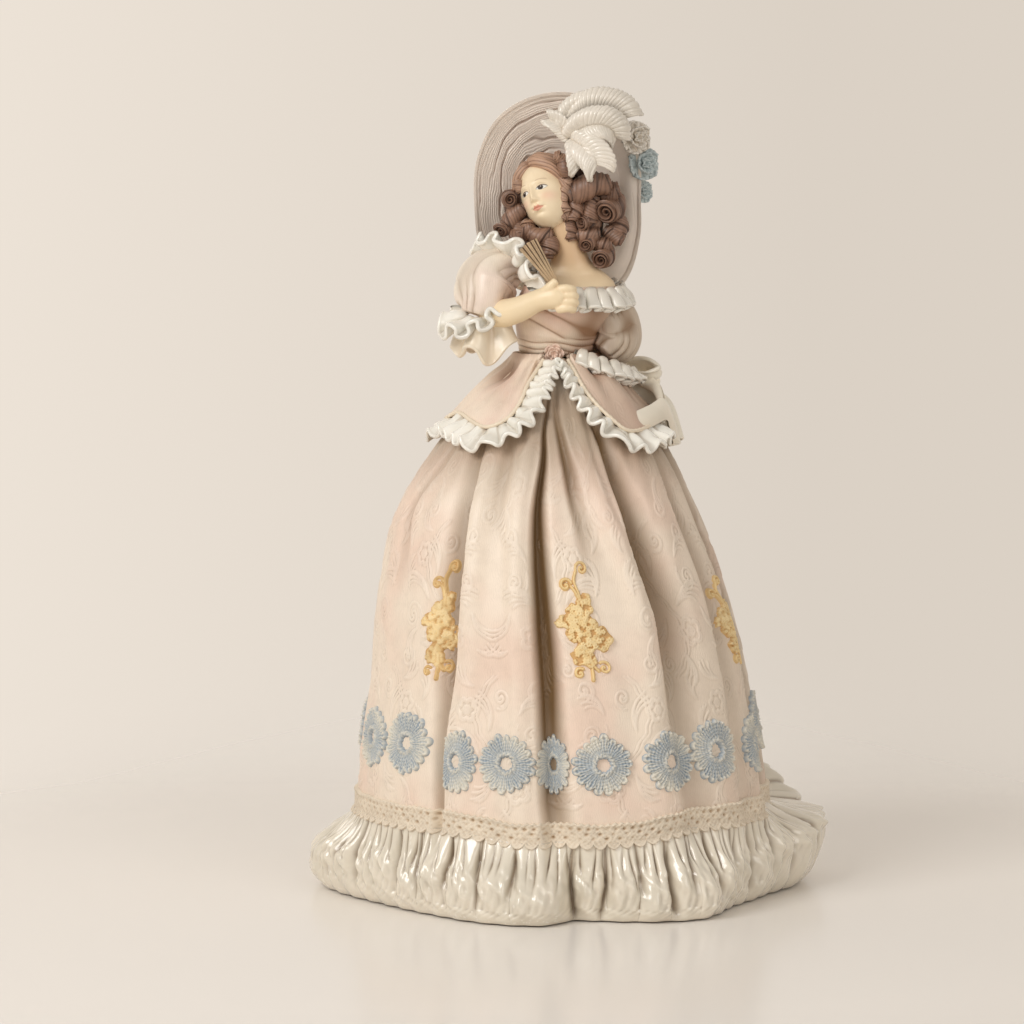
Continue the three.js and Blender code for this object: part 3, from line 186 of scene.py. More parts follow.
class Paint:
    """A node material, built up from its colour, its wash and painted shade, painted highlights and grain."""

    def __init__(self, name, roughness, **sockets):
        self.material = bpy.data.materials.new(name)
        self.material.use_nodes = True
        self.tree = self.material.node_tree
        self.shader = self.tree.nodes["Principled BSDF"]
        self.shader.inputs["Roughness"].default_value = roughness
        for key, value in sockets.items():
            self.shader.inputs[key.replace("_", " ")].default_value = value
        place = self.node("ShaderNodeTexCoord")
        self.place = place.outputs["Object"]

    def node(self, kind, **inputs):
        node = self.tree.nodes.new(kind)
        for key, value in inputs.items():
            self.feed(node.inputs[key], value)
        return node

    def feed(self, socket, value):
        if isinstance(value, bpy.types.NodeSocket):
            self.tree.links.new(value, socket)
        else:
            socket.default_value = value

    def noise(self, scale, detail=4.0, roughness=0.6, distortion=0.0):
        node = self.node("ShaderNodeTexNoise", Vector=self.place, Scale=scale, Detail=detail,
                         Roughness=roughness, Distortion=distortion)
        return node.outputs["Fac"]

    def comb(self, scale, distortion, detail):
        """Fine wavy lines, as combed by a brush."""
        node = self.node("ShaderNodeTexWave", Vector=self.place, Scale=scale,
                         Distortion=distortion, Detail=detail)
        node.inputs["Detail Scale"].default_value = 0.6
        return node.outputs["Fac"]

    def mark(self, key):
        node = self.node("ShaderNodeAttribute")
        node.attribute_name = key
        return node.outputs["Fac"]

    def edges(self):
        return self.node("ShaderNodeNewGeometry").outputs["Pointiness"]

    def span(self, value, low, high, to_low=0.0, to_high=1.0):
        node = self.node("ShaderNodeMapRange", Value=value)
        node.interpolation_type = "SMOOTHSTEP"
        for key, number in (("From Min", low), ("From Max", high), ("To Min", to_low), ("To Max", to_high)):
            node.inputs[key].default_value = number
        return node.outputs["Result"]

    def mix(self, factor, a, b, blend="MIX"):
        node = self.tree.nodes.new("ShaderNodeMix")
        node.data_type = "RGBA"
        node.blend_type = blend
        self.feed(node.inputs["Factor"], factor)
        self.feed(node.inputs[6], a)
        self.feed(node.inputs[7], b)
        return node.outputs[2]

    def math(self, kind, a, b=0.0):
        node = self.tree.nodes.new("ShaderNodeMath")
        node.operation = kind
        self.feed(node.inputs[0], a)
        self.feed(node.inputs[1], b)
        return node.outputs[0]

    def bump(self, *layers):
        """Layers of (height, strength, distance in mm), from the finest to the broadest."""
        normal = None
        for height, strength, distance in layers:
            node = self.node("ShaderNodeBump", Height=height, Strength=strength, Distance=distance / 1000)
            if normal is not None:
                self.feed(node.inputs["Normal"], normal)
            normal = node.outputs["Normal"]
        self.feed(self.shader.inputs["Normal"], normal)
        return self

    def colour(self, value):
        self.feed(self.shader.inputs["Base Color"], value)
        return self

    def lay(self, ground, mask, share, shade):
        """The ground with another colour over it, as far as the mask and the share let it."""
        return self.mix(self.math("MULTIPLY", mask, share), ground, srgb(*shade))

    def grain(self, *scales, strength, depth=0.12):
        """Ends a paint with fine grain in its surface."""
        return self.bump((self.noise(*scales), strength, depth)).material


def dress_paint(name, cream, blush, hollow, roughness=0.5):
    """Bisque cloth: cream with a pink bloom, combed by the brush, brown wash and painted shade in the
    hollows, and a painted highlight on raised lines.
    """
    paint = Paint(name, roughness, Coat_Weight=0.12, Coat_Roughness=0.35)
    pink = paint.span(paint.noise(20, 3, 0.55), 0.44, 0.66)
    ground = paint.mix(pink, srgb(*cream), srgb(*blush))
    ground = paint.lay(ground, paint.span(paint.noise(150, 5, 0.7), 0.42, 0.72), 0.09, hollow)
    combed = paint.comb(420, 14, 4)
    ground = paint.lay(ground, paint.span(combed, 0.5, 0.0), 0.06, hollow)
    # Painted highlight where the relief mark is raised.
    ground = paint.lay(ground, paint.mark("relief"), 0.16, (250, 240, 228))
    # Brown wash and painted shade, from the mark and in the grooves.
    ground = paint.mix(paint.mark("wash"), ground, srgb(*hollow))
    paint.colour(paint.lay(ground, paint.span(paint.edges(), 0.5, 0.44), 0.6, hollow))
    patchy = paint.math("MULTIPLY", combed, paint.span(paint.noise(70, 2), 0.42, 0.6))
    paint.bump((paint.noise(1500, 3), 0.18, 0.1), (patchy, 0.25, 0.14))
    return paint.material


def pearl_paint(name, light, hollow, roughness=0.3, grain=0.12, coat=0.5):
    """Pearl-glazed cast ruffles, with a painted highlight on the ridges and brown wash and painted shade in
    the grooves.
    """
    paint = Paint(name, roughness, Coat_Weight=coat, Coat_Roughness=0.16, Specular_IOR_Level=0.55)
    dull = [int(v * 0.955) for v in light]
    ground = paint.mix(paint.span(paint.noise(60, 3), 0.35, 0.7), srgb(*light), srgb(*dull))
    # Brown wash and painted shade in the grooves and from the mark.
    ground = paint.lay(ground, paint.span(paint.edges(), 0.505, 0.43), 0.75, hollow)
    ground = paint.mix(paint.mark("wash"), ground, srgb(*hollow))
    # Painted highlight along the ridges.
    paint.colour(paint.lay(ground, paint.span(paint.edges(), 0.52, 0.6), 0.35, (250, 246, 238)))
    return paint.grain(900, 4, strength=grain)


def plain_paint(name, light, hollow, roughness=0.5, grain=0.2, spread=0.06, reach=0.8, raised=None):
    """A matt or satin paint with a wash and painted shade in its grooves and a little variation."""
    paint = Paint(name, roughness)
    dull = [v * (1 - spread) for v in light]
    ground = paint.mix(paint.span(paint.noise(90, 4), 0.3, 0.7), srgb(*light), srgb(*dull))
    # Wash and painted shade in the grooves.
    ground = paint.lay(ground, paint.span(paint.edges(), 0.51, 0.43), reach, hollow)
    if raised:
        ground = paint.lay(ground, paint.mark("relief"), 0.85, raised)
    paint.colour(paint.mix(paint.mark("wash"), ground, srgb(*hollow)))
    return paint.grain(1200, 4, strength=grain)


SKIRT_PAINT = dress_paint("skirt_bisque", (239, 223, 204), (235, 210, 191), (124, 97, 64))
BLUSH_PAINT = dress_paint("overskirt_bisque", (241, 223, 203), (236, 204, 187), (150, 110, 86))
PEARL = pearl_paint("pearl_glaze", (246, 242, 232), (158, 136, 106), 0.24, 0.12, 0.7)
HEM_GLAZE = pearl_paint("hem_glaze", (230, 220, 202), (126, 104, 78), 0.22, 0.14, 0.9)
LACE = plain_paint("lace_cream", (235, 221, 200), (184, 158, 128), 0.75, 0.3, 0.05, 0.5)
CHALK, PALE_GOLD = (234, 226, 208), (250, 230, 184)
THREAD_BLUE = plain_paint("thread_blue", (170, 182, 192), (112, 124, 134), 0.8, 0.3, 0.08, 0.6, CHALK)
ROSE_CREAM = plain_paint("cord_paint", (242, 226, 202), (196, 164, 134), 0.45, 0.2, 0.06, 0.3)
GOLD = plain_paint("gold_paint", (242, 212, 154), (198, 148, 86), 0.5, 0.3, 0.1, 0.55, PALE_GOLD)

# Skirt form
SKIRT_PROFILE = [
    [1.5, 78, 1.5], [16, 82, 1.5], [35, 83.2, 1.5], [59, 80.7, 0.7], [92, 75.5, -0.3],
    [116, 71.6, -2.5], [140, 65.3, -4.8], [156, 59.4, -5.4], [172, 50.5, -4.2], [184, 42.5, -3.2],
    [194, 33.5, -2.6], [204, 24, -2.2], [210, 17, -2], [214, 13.5, -2],
]
# Folds seen from the front, each a run of (height, angle, reach to its left, reach to its right, depth).
# A negative depth is a ridge.
FRONT_FOLDS = [
    [(1.5, -2, 4, 10, 3), (30, -3, 3.4, 8, 5.5), (47, -4.5, 2.8, 7.5, 8), (74, -5, 2.6, 6.6, 9.2),
     (101, -5.2, 2.6, 6, 9.6), (127, -4.8, 2.2, 5, 9.2), (147, -4.6, 1.7, 4.2, 8.4),
     (164, -4.6, 1.2, 3, 7), (177, -4.2, 0.9, 1.7, 5), (188, -5.6, 0.8, 1, 3.2), (205, -5.4, 0.8, 0.8, 1)],
    [(1.5, -36, 3, 2, 2), (38, -36, 2.6, 1.5, 4.5), (72, -35.8, 5, 1.2, 5.2), (99, -33.8, 8, 1.2, 5.8),
     (124, -32.2, 9, 1.2, 5.8), (138, -31.4, 9, 1.2, 5.4), (155, -31.8, 8, 1.2, 4.8),
     (166, -33.8, 6, 1.4, 3.6), (178, -38, 5, 2.6, 2.5), (200, -40, 3, 3, 0.6)],
    [(1.5, 18, 8, 8, 0), (100, 17, 8, 8, 0.4), (130, 16, 6, 7, 1.2), (143, 14.5, 4, 6, 2.6),
     (155, 11.5, 2.4, 4.6, 4.2), (170, 8, 1.8, 3.6, 4.8), (182, 4.5, 1.4, 2.4, 3.6), (195, 0.5, 1, 1.5, 2),
     (210, 0, 1, 1, 0.5)],
    [(1.5, 39, 8, 14, 2.5), (40, 38, 6, 14, 3.4), (73, 36, 4.6, 13, 4.4), (100, 35.5, 3.4, 13, 5.4),
     (116, 36, 3, 13, 6.2), (131, 34, 2.6, 12, 6.8), (145, 32.4, 2.2, 10, 7), (159, 31, 2, 8, 6.6),
     (170, 28.5, 1.8, 6, 5.4), (182, 26, 1.6, 4.4, 3.6), (200, 22, 1.4, 3, 1)],
    [(1.5, 60, 6, 8, 1.5), (60, 60, 5, 8, 2), (122, 61, 3, 8, 3.2), (158, 59.5, 2.4, 6, 3.4),
     (175, 60, 2, 4, 1.5), (200, 60, 2, 3, 0.5)],
    [(1.5, -64, 8, 8, 0), (110, -60, 8, 8, 0.5), (144, -62, 5, 4, 2.2), (157, -65, 4, 3, 2.6),
     (175, -59, 3, 3, 1.4), (200, -58, 3, 3, 0.4)],
    [(100, -20, 7, 6, 0), (138, -20, 5, 5, 0.8), (158, -20, 4, 4, 2.6), (172, -22, 4, 4, 2.6),
     (200, -22, 3, 3, 0.5)],
    [(1.5, -11, 5, 4, 0), (40, -12, 5, 4, -1), (100, -12, 5, 3.6, -2), (150, -11, 4, 3, -1.8),
     (180, -11, 3, 2, -1), (205, -11, 2, 2, 0)],
    [(1.5, -28, 5, 5, 0), (50, -30, 4, 5, -1), (110, -28, 3.6, 5, -1.6), (155, -27, 3.4, 5, -1.4),
     (180, -30, 3, 4, -0.6), (205, -30, 3, 3, 0)],
    [(1.5, 26, 8, 6, 0), (60, 27, 7, 5, -1.2), (100, 28, 6, 4, -2), (130, 27, 5, 3.6, -2.6),
     (150, 24.5, 4.4, 3, -2.6), (164, 20.6, 3.6, 2.6, -2), (180, 17, 3, 2, -1), (205, 14, 2, 2, 0)],
]
# Folds of the sides and back: angle at the top and bottom, half width in degrees and depth
BACK_FOLDS = [
    (78, 82, 8, 5), (104, 107, 7, 6), (131, 133, 8, 6), (156, 158, 7, 7), (-176, -178, 7, 6),
    (-150, -152, 8, 7), (-124, -127, 7, 6), (-98, -100, 8, 5),
]
# How square the folds are across, from 2 for a soft bell
FRONT_SQUARE, BACK_SQUARE = 2.6, 2.2
# The deepest that a fold may be, as a share of the skirt's half width
DEEPEST_FOLD = 0.17
FOLDS = [(rows, FRONT_SQUARE) for rows in FRONT_FOLDS]
for upper, lower, half, depth in BACK_FOLDS:
    rows = [(SKIRT_BOTTOM, lower, 1.4 * half, 1.6 * half, depth),
            (120, (upper + lower) / 2, 0.8 * half, 1.7 * half, depth),
            (WAIST, upper, 0.4 * half, 0.5 * half, depth)]
    FOLDS.append((rows, BACK_SQUARE))


def turn(angle):
    """The angle brought to -180 to 180 degrees."""
    return (np.asarray(angle, float) + 180) % 360 - 180


def fold_depth(angle, height):
    angle, height = np.broadcast_arrays(np.asarray(angle, float), np.asarray(height, float))
    levels, level = np.unique(height, return_inverse=True)
    level = level.reshape(height.shape)
    profile = through(SKIRT_PROFILE, levels)[:, 0]
    rise = (levels - SKIRT_BOTTOM) / (WAIST - SKIRT_BOTTOM)
    ease = step(rise, 0, 0.1) * (1 - 0.6 * step(rise, 0.86, 1))
    total = np.zeros(angle.shape)
    for rows, square in FOLDS:
        centre, left, right, depth = through(rows, levels).T
        depth = np.minimum(depth, profile * DEEPEST_FOLD) * ease
        away = np.radians(turn(angle - centre[level])) * profile[level]
        away = away / np.where(away < 0, left[level], right[level])
        total += depth[level] * np.exp(-np.abs(away) ** square)
    return total


def skirt_point(angle, height, lift=0.0, folds=1.0):
    angle, height = np.broadcast_arrays(np.asarray(angle, float), np.asarray(height, float))
    radius = through(SKIRT_PROFILE, height)
    taper = (through(SKIRT_PROFILE, height - 1)[..., 0] - through(SKIRT_PROFILE, height + 1)[..., 0]) / 2
    square = 1 / np.hypot(1, taper)
    reach = radius[..., 0] - folds * fold_depth(angle, height) + lift * square
    turned = np.radians(angle)
    return np.stack([radius[..., 1] + reach * np.sin(turned), -reach * np.cos(turned) * DEPTH_SHARE,
                     height + lift * square * taper], -1)


# Embossed scrolls: lines drawn on a flat sheet and pressed into a field of heights
def line_of(x, y):
    return np.column_stack([x, y])


def spiral(x, y, radius, turns, start, way=1):
    t = np.linspace(0, 1, int(60 * turns))
    angle = start + way * t * turns * 2 * np.pi
    reach = radius * (1 - t) ** 0.8
    return line_of(x + reach * np.cos(angle), y + reach * np.sin(angle))


def spray(x, y, way, length, count, curl, fan=1.1):
    """A plume of lines that leave one point side by side and curl over together."""
    t = np.linspace(0, 1, 90)
    lines = []
    for k in range(count):
        part = k / (count - 1) - 0.5
        angle = way + fan * part * (0.3 + 0.7 * t) + curl * t**1.4 * (1 - 0.4 * part * np.sign(curl))
        stride = length * (1 - 0.45 * abs(part) - 0.2 * part) / len(t)
        lines.append(line_of(x + np.cumsum(stride * np.cos(angle)), y + np.cumsum(stride * np.sin(angle))))
    return np.vstack(lines)


def bloom(x, y, radius, petals):
    t = np.linspace(0, 2 * np.pi, 200)
    outer = radius * (0.72 + 0.28 * np.abs(np.cos(petals * t / 2)))
    rings = (outer, 0.8 * outer, 0.3 * radius + 0 * t, 0.12 * radius + 0 * t)
    return np.vstack([line_of(x + r * np.cos(t), y + r * np.sin(t)) for r in rings])


# One repeat of the damask. Scrolls: x, y, radius, first angle, way round.
DAMASK_SCROLLS = [
    (16, -7, 6, 3.4, -1), (-17, 8, 5.5, 0.2, -1), (19, -23, 4, 2.2, 1),
    (-20, 25, 3.6, 5.0, 1), (-3, 22, 3.4, 4.6, -1), (3, -25, 3.4, 1.2, -1),
]
# Sprays: x, y, direction, length, count of lines, curl
DAMASK_SPRAYS = [
    (6, 0, 1.1, 22, 6, -1.5), (-7, -3, 2.2, 20, 6, 1.4), (2, 9, 1.8, 17, 5, -1.3),
    (-5, -21, -2.2, 15, 5, 1.4),
    (21, 3, 1.2, 15, 5, 1.3), (-21, -4, -1.8, 16, 5, -1.4), (13, -12, -0.5, 15, 5, -1.5),
    (-12, 16, 2.0, 14, 5, 1.5), (23, 19, 0.9, 12, 4, 1.4), (-23, -18, 3.7, 12, 4, -1.4),
    (0, -8, -1.3, 14, 5, 1.2), (9, 26, 0.2, 13, 4, 1.3),
]
# The repeat goes this often round the skirt, is this wide and tall, and starts at this height
DAMASK_CELLS, DAMASK_WIDE, DAMASK_TALL, DAMASK_START = 9, 60, 58.0, 38
DAMASK_LINE = 0.34


def damask_lines():
    y = np.linspace(-30, 30, 160)
    stem = 8 * np.sin(np.pi * y / 30)
    parts = [line_of(stem + shift + 0.4 * np.sin(y), y) for shift in (-0.8, 0.8)]
    parts += [bloom(-11, -13, 5.5, 5), bloom(12, 17, 4.8, 6)]
    for x0, y0, radius, start, way in DAMASK_SCROLLS:
        parts.append(spiral(x0, y0, radius, 1.6, start, way))
        parts.append(spiral(x0, y0, radius + 1.1, 1.0, start + 0.4, way))
    parts += [spray(*row) for row in DAMASK_SPRAYS]
    return np.vstack(parts)


def stamp(field, columns, rows, column_size, row_size, width):
    """Presses soft round dots at fractional grid places; columns wrap round."""
    reach_c, reach_r = int(np.ceil(2 * width / column_size.min())), int(np.ceil(2 * width / row_size))
    base_c, base_r = np.round(columns).astype(int), np.round(rows).astype(int)
    for dc in range(-reach_c, reach_c + 1):
        for dr in range(-reach_r, reach_r + 1):
            c, r = base_c + dc, base_r + dr
            ok = (r >= 0) & (r < field.shape[1])
            gap = np.hypot((c - columns) * column_size, (r - rows) * row_size)
            value = bell(gap, width)
            np.maximum.at(field, ((c % field.shape[0])[ok], r[ok]), value[ok])


def damask_field(count, heights):
    field = np.zeros((count, len(heights)))
    lines = damask_lines()
    row_size = heights[1] - heights[0]
    for tier in range(-1, 4):
        for cell in range(DAMASK_CELLS):
            side = 1 if (cell + tier) % 2 else -1
            middle = (cell + 0.5 * (tier % 2)) * 360 / DAMASK_CELLS
            y = DAMASK_START + tier * DAMASK_TALL + 26 + lines[:, 1]
            keep = (y > heights[0]) & (y < heights[-1])
            y = y[keep]
            degrees = side * lines[keep, 0] / DAMASK_WIDE * 360 / DAMASK_CELLS
            columns = (middle + degrees) / 360 * count
            size = 2 * np.pi * through(SKIRT_PROFILE, y)[..., 0] / count
            stamp(field, columns % count, (y - heights[0]) / row_size, size, row_size, DAMASK_LINE)
    return field


SKIRT_ROW = 0.42
SKIRT_HEIGHTS = np.arange(SKIRT_BOTTOM, WAIST, SKIRT_ROW)
SKIRT_ANGLES = np.linspace(-180, 180, 1320, endpoint=False)
DAMASK = damask_field(len(SKIRT_ANGLES), SKIRT_HEIGHTS)
DAMASK_RISE = 0.36


def damask_at(angle, height):
    """The pressed scrolls read at any angle and height."""
    columns, rows = DAMASK.shape
    column = np.round((np.asarray(angle) + 180) / 360 * columns).astype(int) % columns
    row = np.round((np.asarray(height) - SKIRT_BOTTOM) / SKIRT_ROW).astype(int)
    return DAMASK[column, np.clip(row, 0, rows - 1)]


def build_skirt():
    a, z = grid_of(SKIRT_ANGLES, SKIRT_HEIGHTS)
    relief = DAMASK * step(z, 38, 42)
    ripple = 0.16 * np.sin(np.radians(a) * 37 + 2.5 * np.sin(z / 17))
    ripple += 0.14 * np.sin(z / 6 + 5 * np.sin(np.radians(a) * 6))
    depth = fold_depth(a, z)
    # The relief grows faint where the folds crowd together
    lift = DAMASK_RISE * relief * (1 - 0.6 * step(z, 135, 180)) + ripple * step(z, 30, 60)
    points = skirt_point(a, z, lift)
    # Darker in the folds, less so low down: brown wash and painted shade. A painted shadow under the
    # overskirt's ruffle, and painted shade on the right side, away from the key light.
    in_folds = (0.85 + 0.35 * step(z, 40, 130)) * clamp((depth - 0.8) / 7.4) ** 1.05
    shadow_under_ruffle = 0.6 * step(z, 156, 188) * fade(z, 199, 207)
    shaded_right_side = 0.2 * step(turn(a), 30, 80) * fade(turn(a), 100, 150)
    wash = clamp(in_folds + shadow_under_ruffle + shaded_right_side)
    skirt = surface("skirt", points, SKIRT_PAINT, "bisque", wrap_u=True, relief=relief, wash=wash)
    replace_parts(skirt, "skirt_shell")


# Applied reliefs: a patch that dips under the skirt wherever its field is nothing.
# How fine their meshes are, and how high they stand.
DAISY_MESH, GOLD_MESH = 0.3, 0.24
DAISY_RISE, GOLD_RISE = 1.9, 1.8


def relief_patch(name, node, angle, height, wide, tall, field, rise, paint, slot, size=DAISY_MESH):
    x = np.arange(-wide / 2, wide / 2 + size, size)
    y = np.arange(-tall / 2, tall / 2 + size, size)
    x, y = grid_of(x, y)
    value, tint, bright = field(x, y)
    radius = through(SKIRT_PROFILE, height + 0 * y)[..., 0]
    lift = rise * value - 0.5 * fade(value, 0, 0.12)
    points = skirt_point(angle + np.degrees(x / radius), height + y, lift)
    patch = surface(name, points, paint, slot, wash=tint, relief=bright)
    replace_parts(patch, node)


# A daisy's petals, its radius, the radius of its eye and the patch that holds it
DAISY_PETALS, DAISY_RADIUS, DAISY_EYE, DAISY_PATCH = 17, 11.3, 2.7, 24.5


def daisy_field(share, size, seed):
    """A ring of looped petals of thread round a corded eye."""
    chance = np.random.default_rng(seed)
    grow = chance.uniform(0.92, 1.04, DAISY_PETALS)
    tint = np.sin(np.arange(DAISY_PETALS) * 0.74 + 1.3 * seed) * 0.9 + 0.25
    chalk = clamp(tint) * chance.uniform(0.5, 1.0, DAISY_PETALS)

    def field(x, y):
        r, way = np.hypot(x / share, y) / size, np.arctan2(y, x / share) + 0.4 * seed
        place = (way / (2 * np.pi) * DAISY_PETALS) % DAISY_PETALS
        which = place.astype(int) % DAISY_PETALS
        inside = place % 1 - 0.5
        edge = DAISY_RADIUS * grow[which] * (0.78 + 0.22 * np.sqrt(clamp(1 - (2 * inside) ** 2)))
        mouth = DAISY_EYE + 0.1 * np.sin(5 * way + seed) + 0.16 * np.sin(11 * way)
        body = step(r, mouth - 0.5, mouth + 0.2) * fade(r, edge - 0.5, edge + 0.2)
        petal = np.sqrt(clamp(1 - (1.85 * inside) ** 2))
        wobble = 0.05 * np.sin(1.9 * r + 5 * place)
        thread = bell(np.abs(inside + wobble) - 0.2, 0.07) + bell(0.5 - np.abs(inside), 0.06)
        stitch = 0.5 + 0.5 * np.sin(5.2 * r + 2.4 * place)
        thread = clamp(thread * (0.65 + 0.5 * stitch))
        eye = bell(r - mouth - 0.7, 0.75) * (0.7 + 0.3 * np.sin(14 * way + 3 * r))
        loop = bell(r - edge + 0.8, 0.55) * (0.75 + 0.25 * np.sin(9 * place))
        pale = chalk[which] * step(r, 3, 9)
        cloth = 0.3 + 0.2 * petal + 0.34 * thread + 0.1 * stitch * petal
        height = body * (cloth + 0.4 * eye + 0.3 * loop)
        bright = body * clamp(0.85 * thread * step(r, 3, 4.2) + 0.9 * eye + 0.8 * loop + 0.75 * pale)
        # The second value is painted shade between the threads.
        return height, body * fade(thread + petal, 0.3, 0.9) * step(r, 3.4, 5) * 0.6, bright
    return field


# Daisies: angle, share of their width that shows, rise and size
DAISIES = [(-68, 1, -1, 1.05), (-49.4, 1.05, 1.4, 1.1), (-30.8, 0.74, -1.2, 1.12), (-15.8, 0.99, 0.2, 1.05),
           (-3, 0.6, -0.4, 1), (11, 1.05, 0, 1.03), (31.4, 1.06, -1.4, 1.1), (48.5, 0.9, -1.2, 1.14),
           (71.6, 1, -4, 1.05)]
BACK_DAISIES = 9
DAISIES += [(73 + (i + 1) * (360 - 143) / (BACK_DAISIES + 1), 1, 0, 1.05) for i in range(BACK_DAISIES)]
DAISY_HEIGHT, DAISY_CLIMB = 60.5, 6
# Golden sprays: angle, height, lean, slimness and tallness
GOLD_SPRAYS = [(-39.8, 111.6, 0.13, 0.76, 1.02), (8, 113, 0, 1, 1), (70, 108.6, -0.14, 0.9, 0.78)]
GOLD_SPRAYS += [(angle, 113, 0, 1, 1) for angle in (128, 188, 252)]
GOLD_WIDE, GOLD_TALL = 27, 54
# The body of a spray as discs: x, y, radius
GOLD_LOBES = [
    (1.6, 7.6, 3.6), (-2.4, 6.0, 3.2), (-0.4, 2.6, 4.6), (-6.0, 2.6, 2.8), (-8.8, 1.6, 1.7), (2.4, -0.8, 4.6),
    (-3.0, -2.2, 3.6), (6.6, -4.4, 4.7), (0.8, -6.6, 3.8), (-1.8, -10.6, 3.8), (1.4, -12.4, 2.8),
    (2.8, 11, 2.2),
]
# Its curls: x, y, radius, turns, first angle, way round
GOLD_CURLS = [
    (2.8, 22.4, 2.6, 1.4, 3.3, -1), (-4.6, 16.2, 2.5, 1.2, 0.3, 1),
    (6.6, -15.4, 2.5, 1.2, 2.2, -1), (-2.8, -17.2, 2, 1.2, 0.9, 1),
]
GOLD_STEMS = [
    [(0.3, 21.6), (-1, 17.6), (0.4, 12.4), (1, 8)], [(-2.4, 15.6), (-1, 13.6), (0.2, 10.6)],
    [(1.6, -10), (2, -17), (1.9, -24)], [(4.4, -16.6), (2.6, -14.4), (1.6, -11.6)],
]
# Florets in each disc for every millimetre of its radius
FLORETS = 5


def gold_field(seed, lean, slim, tall):
    """A spray of couched gold thread: curls at both ends and a crowd of florets between."""
    chance = np.random.default_rng(seed)
    lines = [spiral(*curl) for curl in GOLD_CURLS]
    lines += [path(stem, np.linspace(0, 1, 60)) for stem in GOLD_STEMS]
    lines = np.vstack(lines)
    florets = []
    for x, y, r in GOLD_LOBES:
        for _ in range(int(FLORETS * r)):
            reach = r * math.sqrt(chance.random())
            way = 2 * math.pi * chance.random()
            florets.append((x + reach * math.cos(way), y + reach * math.sin(way), chance.uniform(0.8, 1.6),
                            chance.uniform(0, 6.28), chance.uniform(0.6, 1.0)))

    def field(x, y):
        size = x[1, 0] - x[0, 0]
        stroke = np.zeros_like(x)
        thick = 0.32 + 0.2 * clamp((lines[:, 1] + 24) / 8)
        across = lines[:, 0] * slim + lean * lines[:, 1] * tall
        columns = (across - x[0, 0]) / size
        rows = (lines[:, 1] * tall - y[0, 0]) / size
        thin = thick < 0.42
        stamp_flat(stroke, columns[thin], rows[thin], size, 0.4)
        stamp_flat(stroke, columns[~thin], rows[~thin], size, 0.52)
        x, y = (x - lean * y) / slim, y / tall
        body = np.zeros_like(x)
        for cx, cy, r in GOLD_LOBES:
            way = np.arctan2(y - cy, x - cx)
            edge = r * (1 + 0.1 * np.cos(5 * way + cx))
            body = np.maximum(body, fade(np.hypot(x - cx, y - cy), edge - 0.35, edge + 0.35))
        bead = np.zeros_like(x)
        for cx, cy, r, start, bulk in florets:
            gap, way = np.hypot(x - cx, y - cy), np.arctan2(y - cy, x - cx)
            reach = r * (0.68 + 0.32 * np.abs(np.cos(2.5 * way + start)))
            dome = np.sqrt(clamp(1 - (gap / reach) ** 2)) - 0.45 * bell(gap, 0.3 * r)
            bead = np.maximum(bead, bulk * dome)
        height = np.maximum(body * (0.22 + 0.75 * bead), clamp(stroke * 1.25) * 0.7)
        # Painted shade between the florets and beside the stems, and darker along the spray's edge.
        hollow = np.maximum(body * fade(bead, 0.1, 0.6) * 0.7,
                            0.5 * step(stroke, 0.05, 0.3) * fade(stroke, 0.3, 0.7))
        rim = body * (1 - body) * 3.2
        return height, clamp(hollow * fade(stroke, 0.6, 0.9) + 0.5 * rim), step(bead, 0.55, 0.95)
    return field


def stamp_flat(field, columns, rows, size, width):
    padded = np.zeros((field.shape[0] + 40, field.shape[1]))
    stamp(padded, columns + 20, rows, np.full(len(columns), size), size, width)
    field[:] = padded[20:-20]


def build_appliques():
    for i, (angle, share, rise, size) in enumerate(DAISIES):
        height = DAISY_HEIGHT + DAISY_CLIMB * math.sin(math.radians(angle)) ** 2 + rise
        patch = DAISY_PATCH * size
        node = f"daisy_{i + 1:02d}"
        relief_patch(node + "_thread", node, angle, height, DAISY_PATCH * share * size, patch,
                     daisy_field(share, size, i), DAISY_RISE, THREAD_BLUE, "blue")
    for i, (angle, height, lean, slim, tall) in enumerate(GOLD_SPRAYS):
        name, node = f"gold_{i + 1}_thread", f"gold_applique_{i + 1}"
        relief_patch(name, node, angle, height, GOLD_WIDE, GOLD_TALL * tall,
                     gold_field(40 + i, lean, slim, tall), GOLD_RISE, GOLD, "gold", GOLD_MESH)


SEAM_CLIMB = 3.2


def seam_rise(angle):
    """The seam of skirt and hem climbs from its lowest place at the front."""
    return SEAM_CLIMB * step(np.abs(turn(angle - 2)), 12, 34)


# Lace: rows of eyes as height, pitch and shift, the pitch of its scallops and its outer radius
LACE_EYES = ((6.3, 3.48, 0.0), (2.6, 5.22, 2.61), (4.4, 5.22, 0.0))
SCALLOP, LACE_RADIUS, LACE_BOTTOM, LACE_RISE = 5.22, 83, 30, 1.9


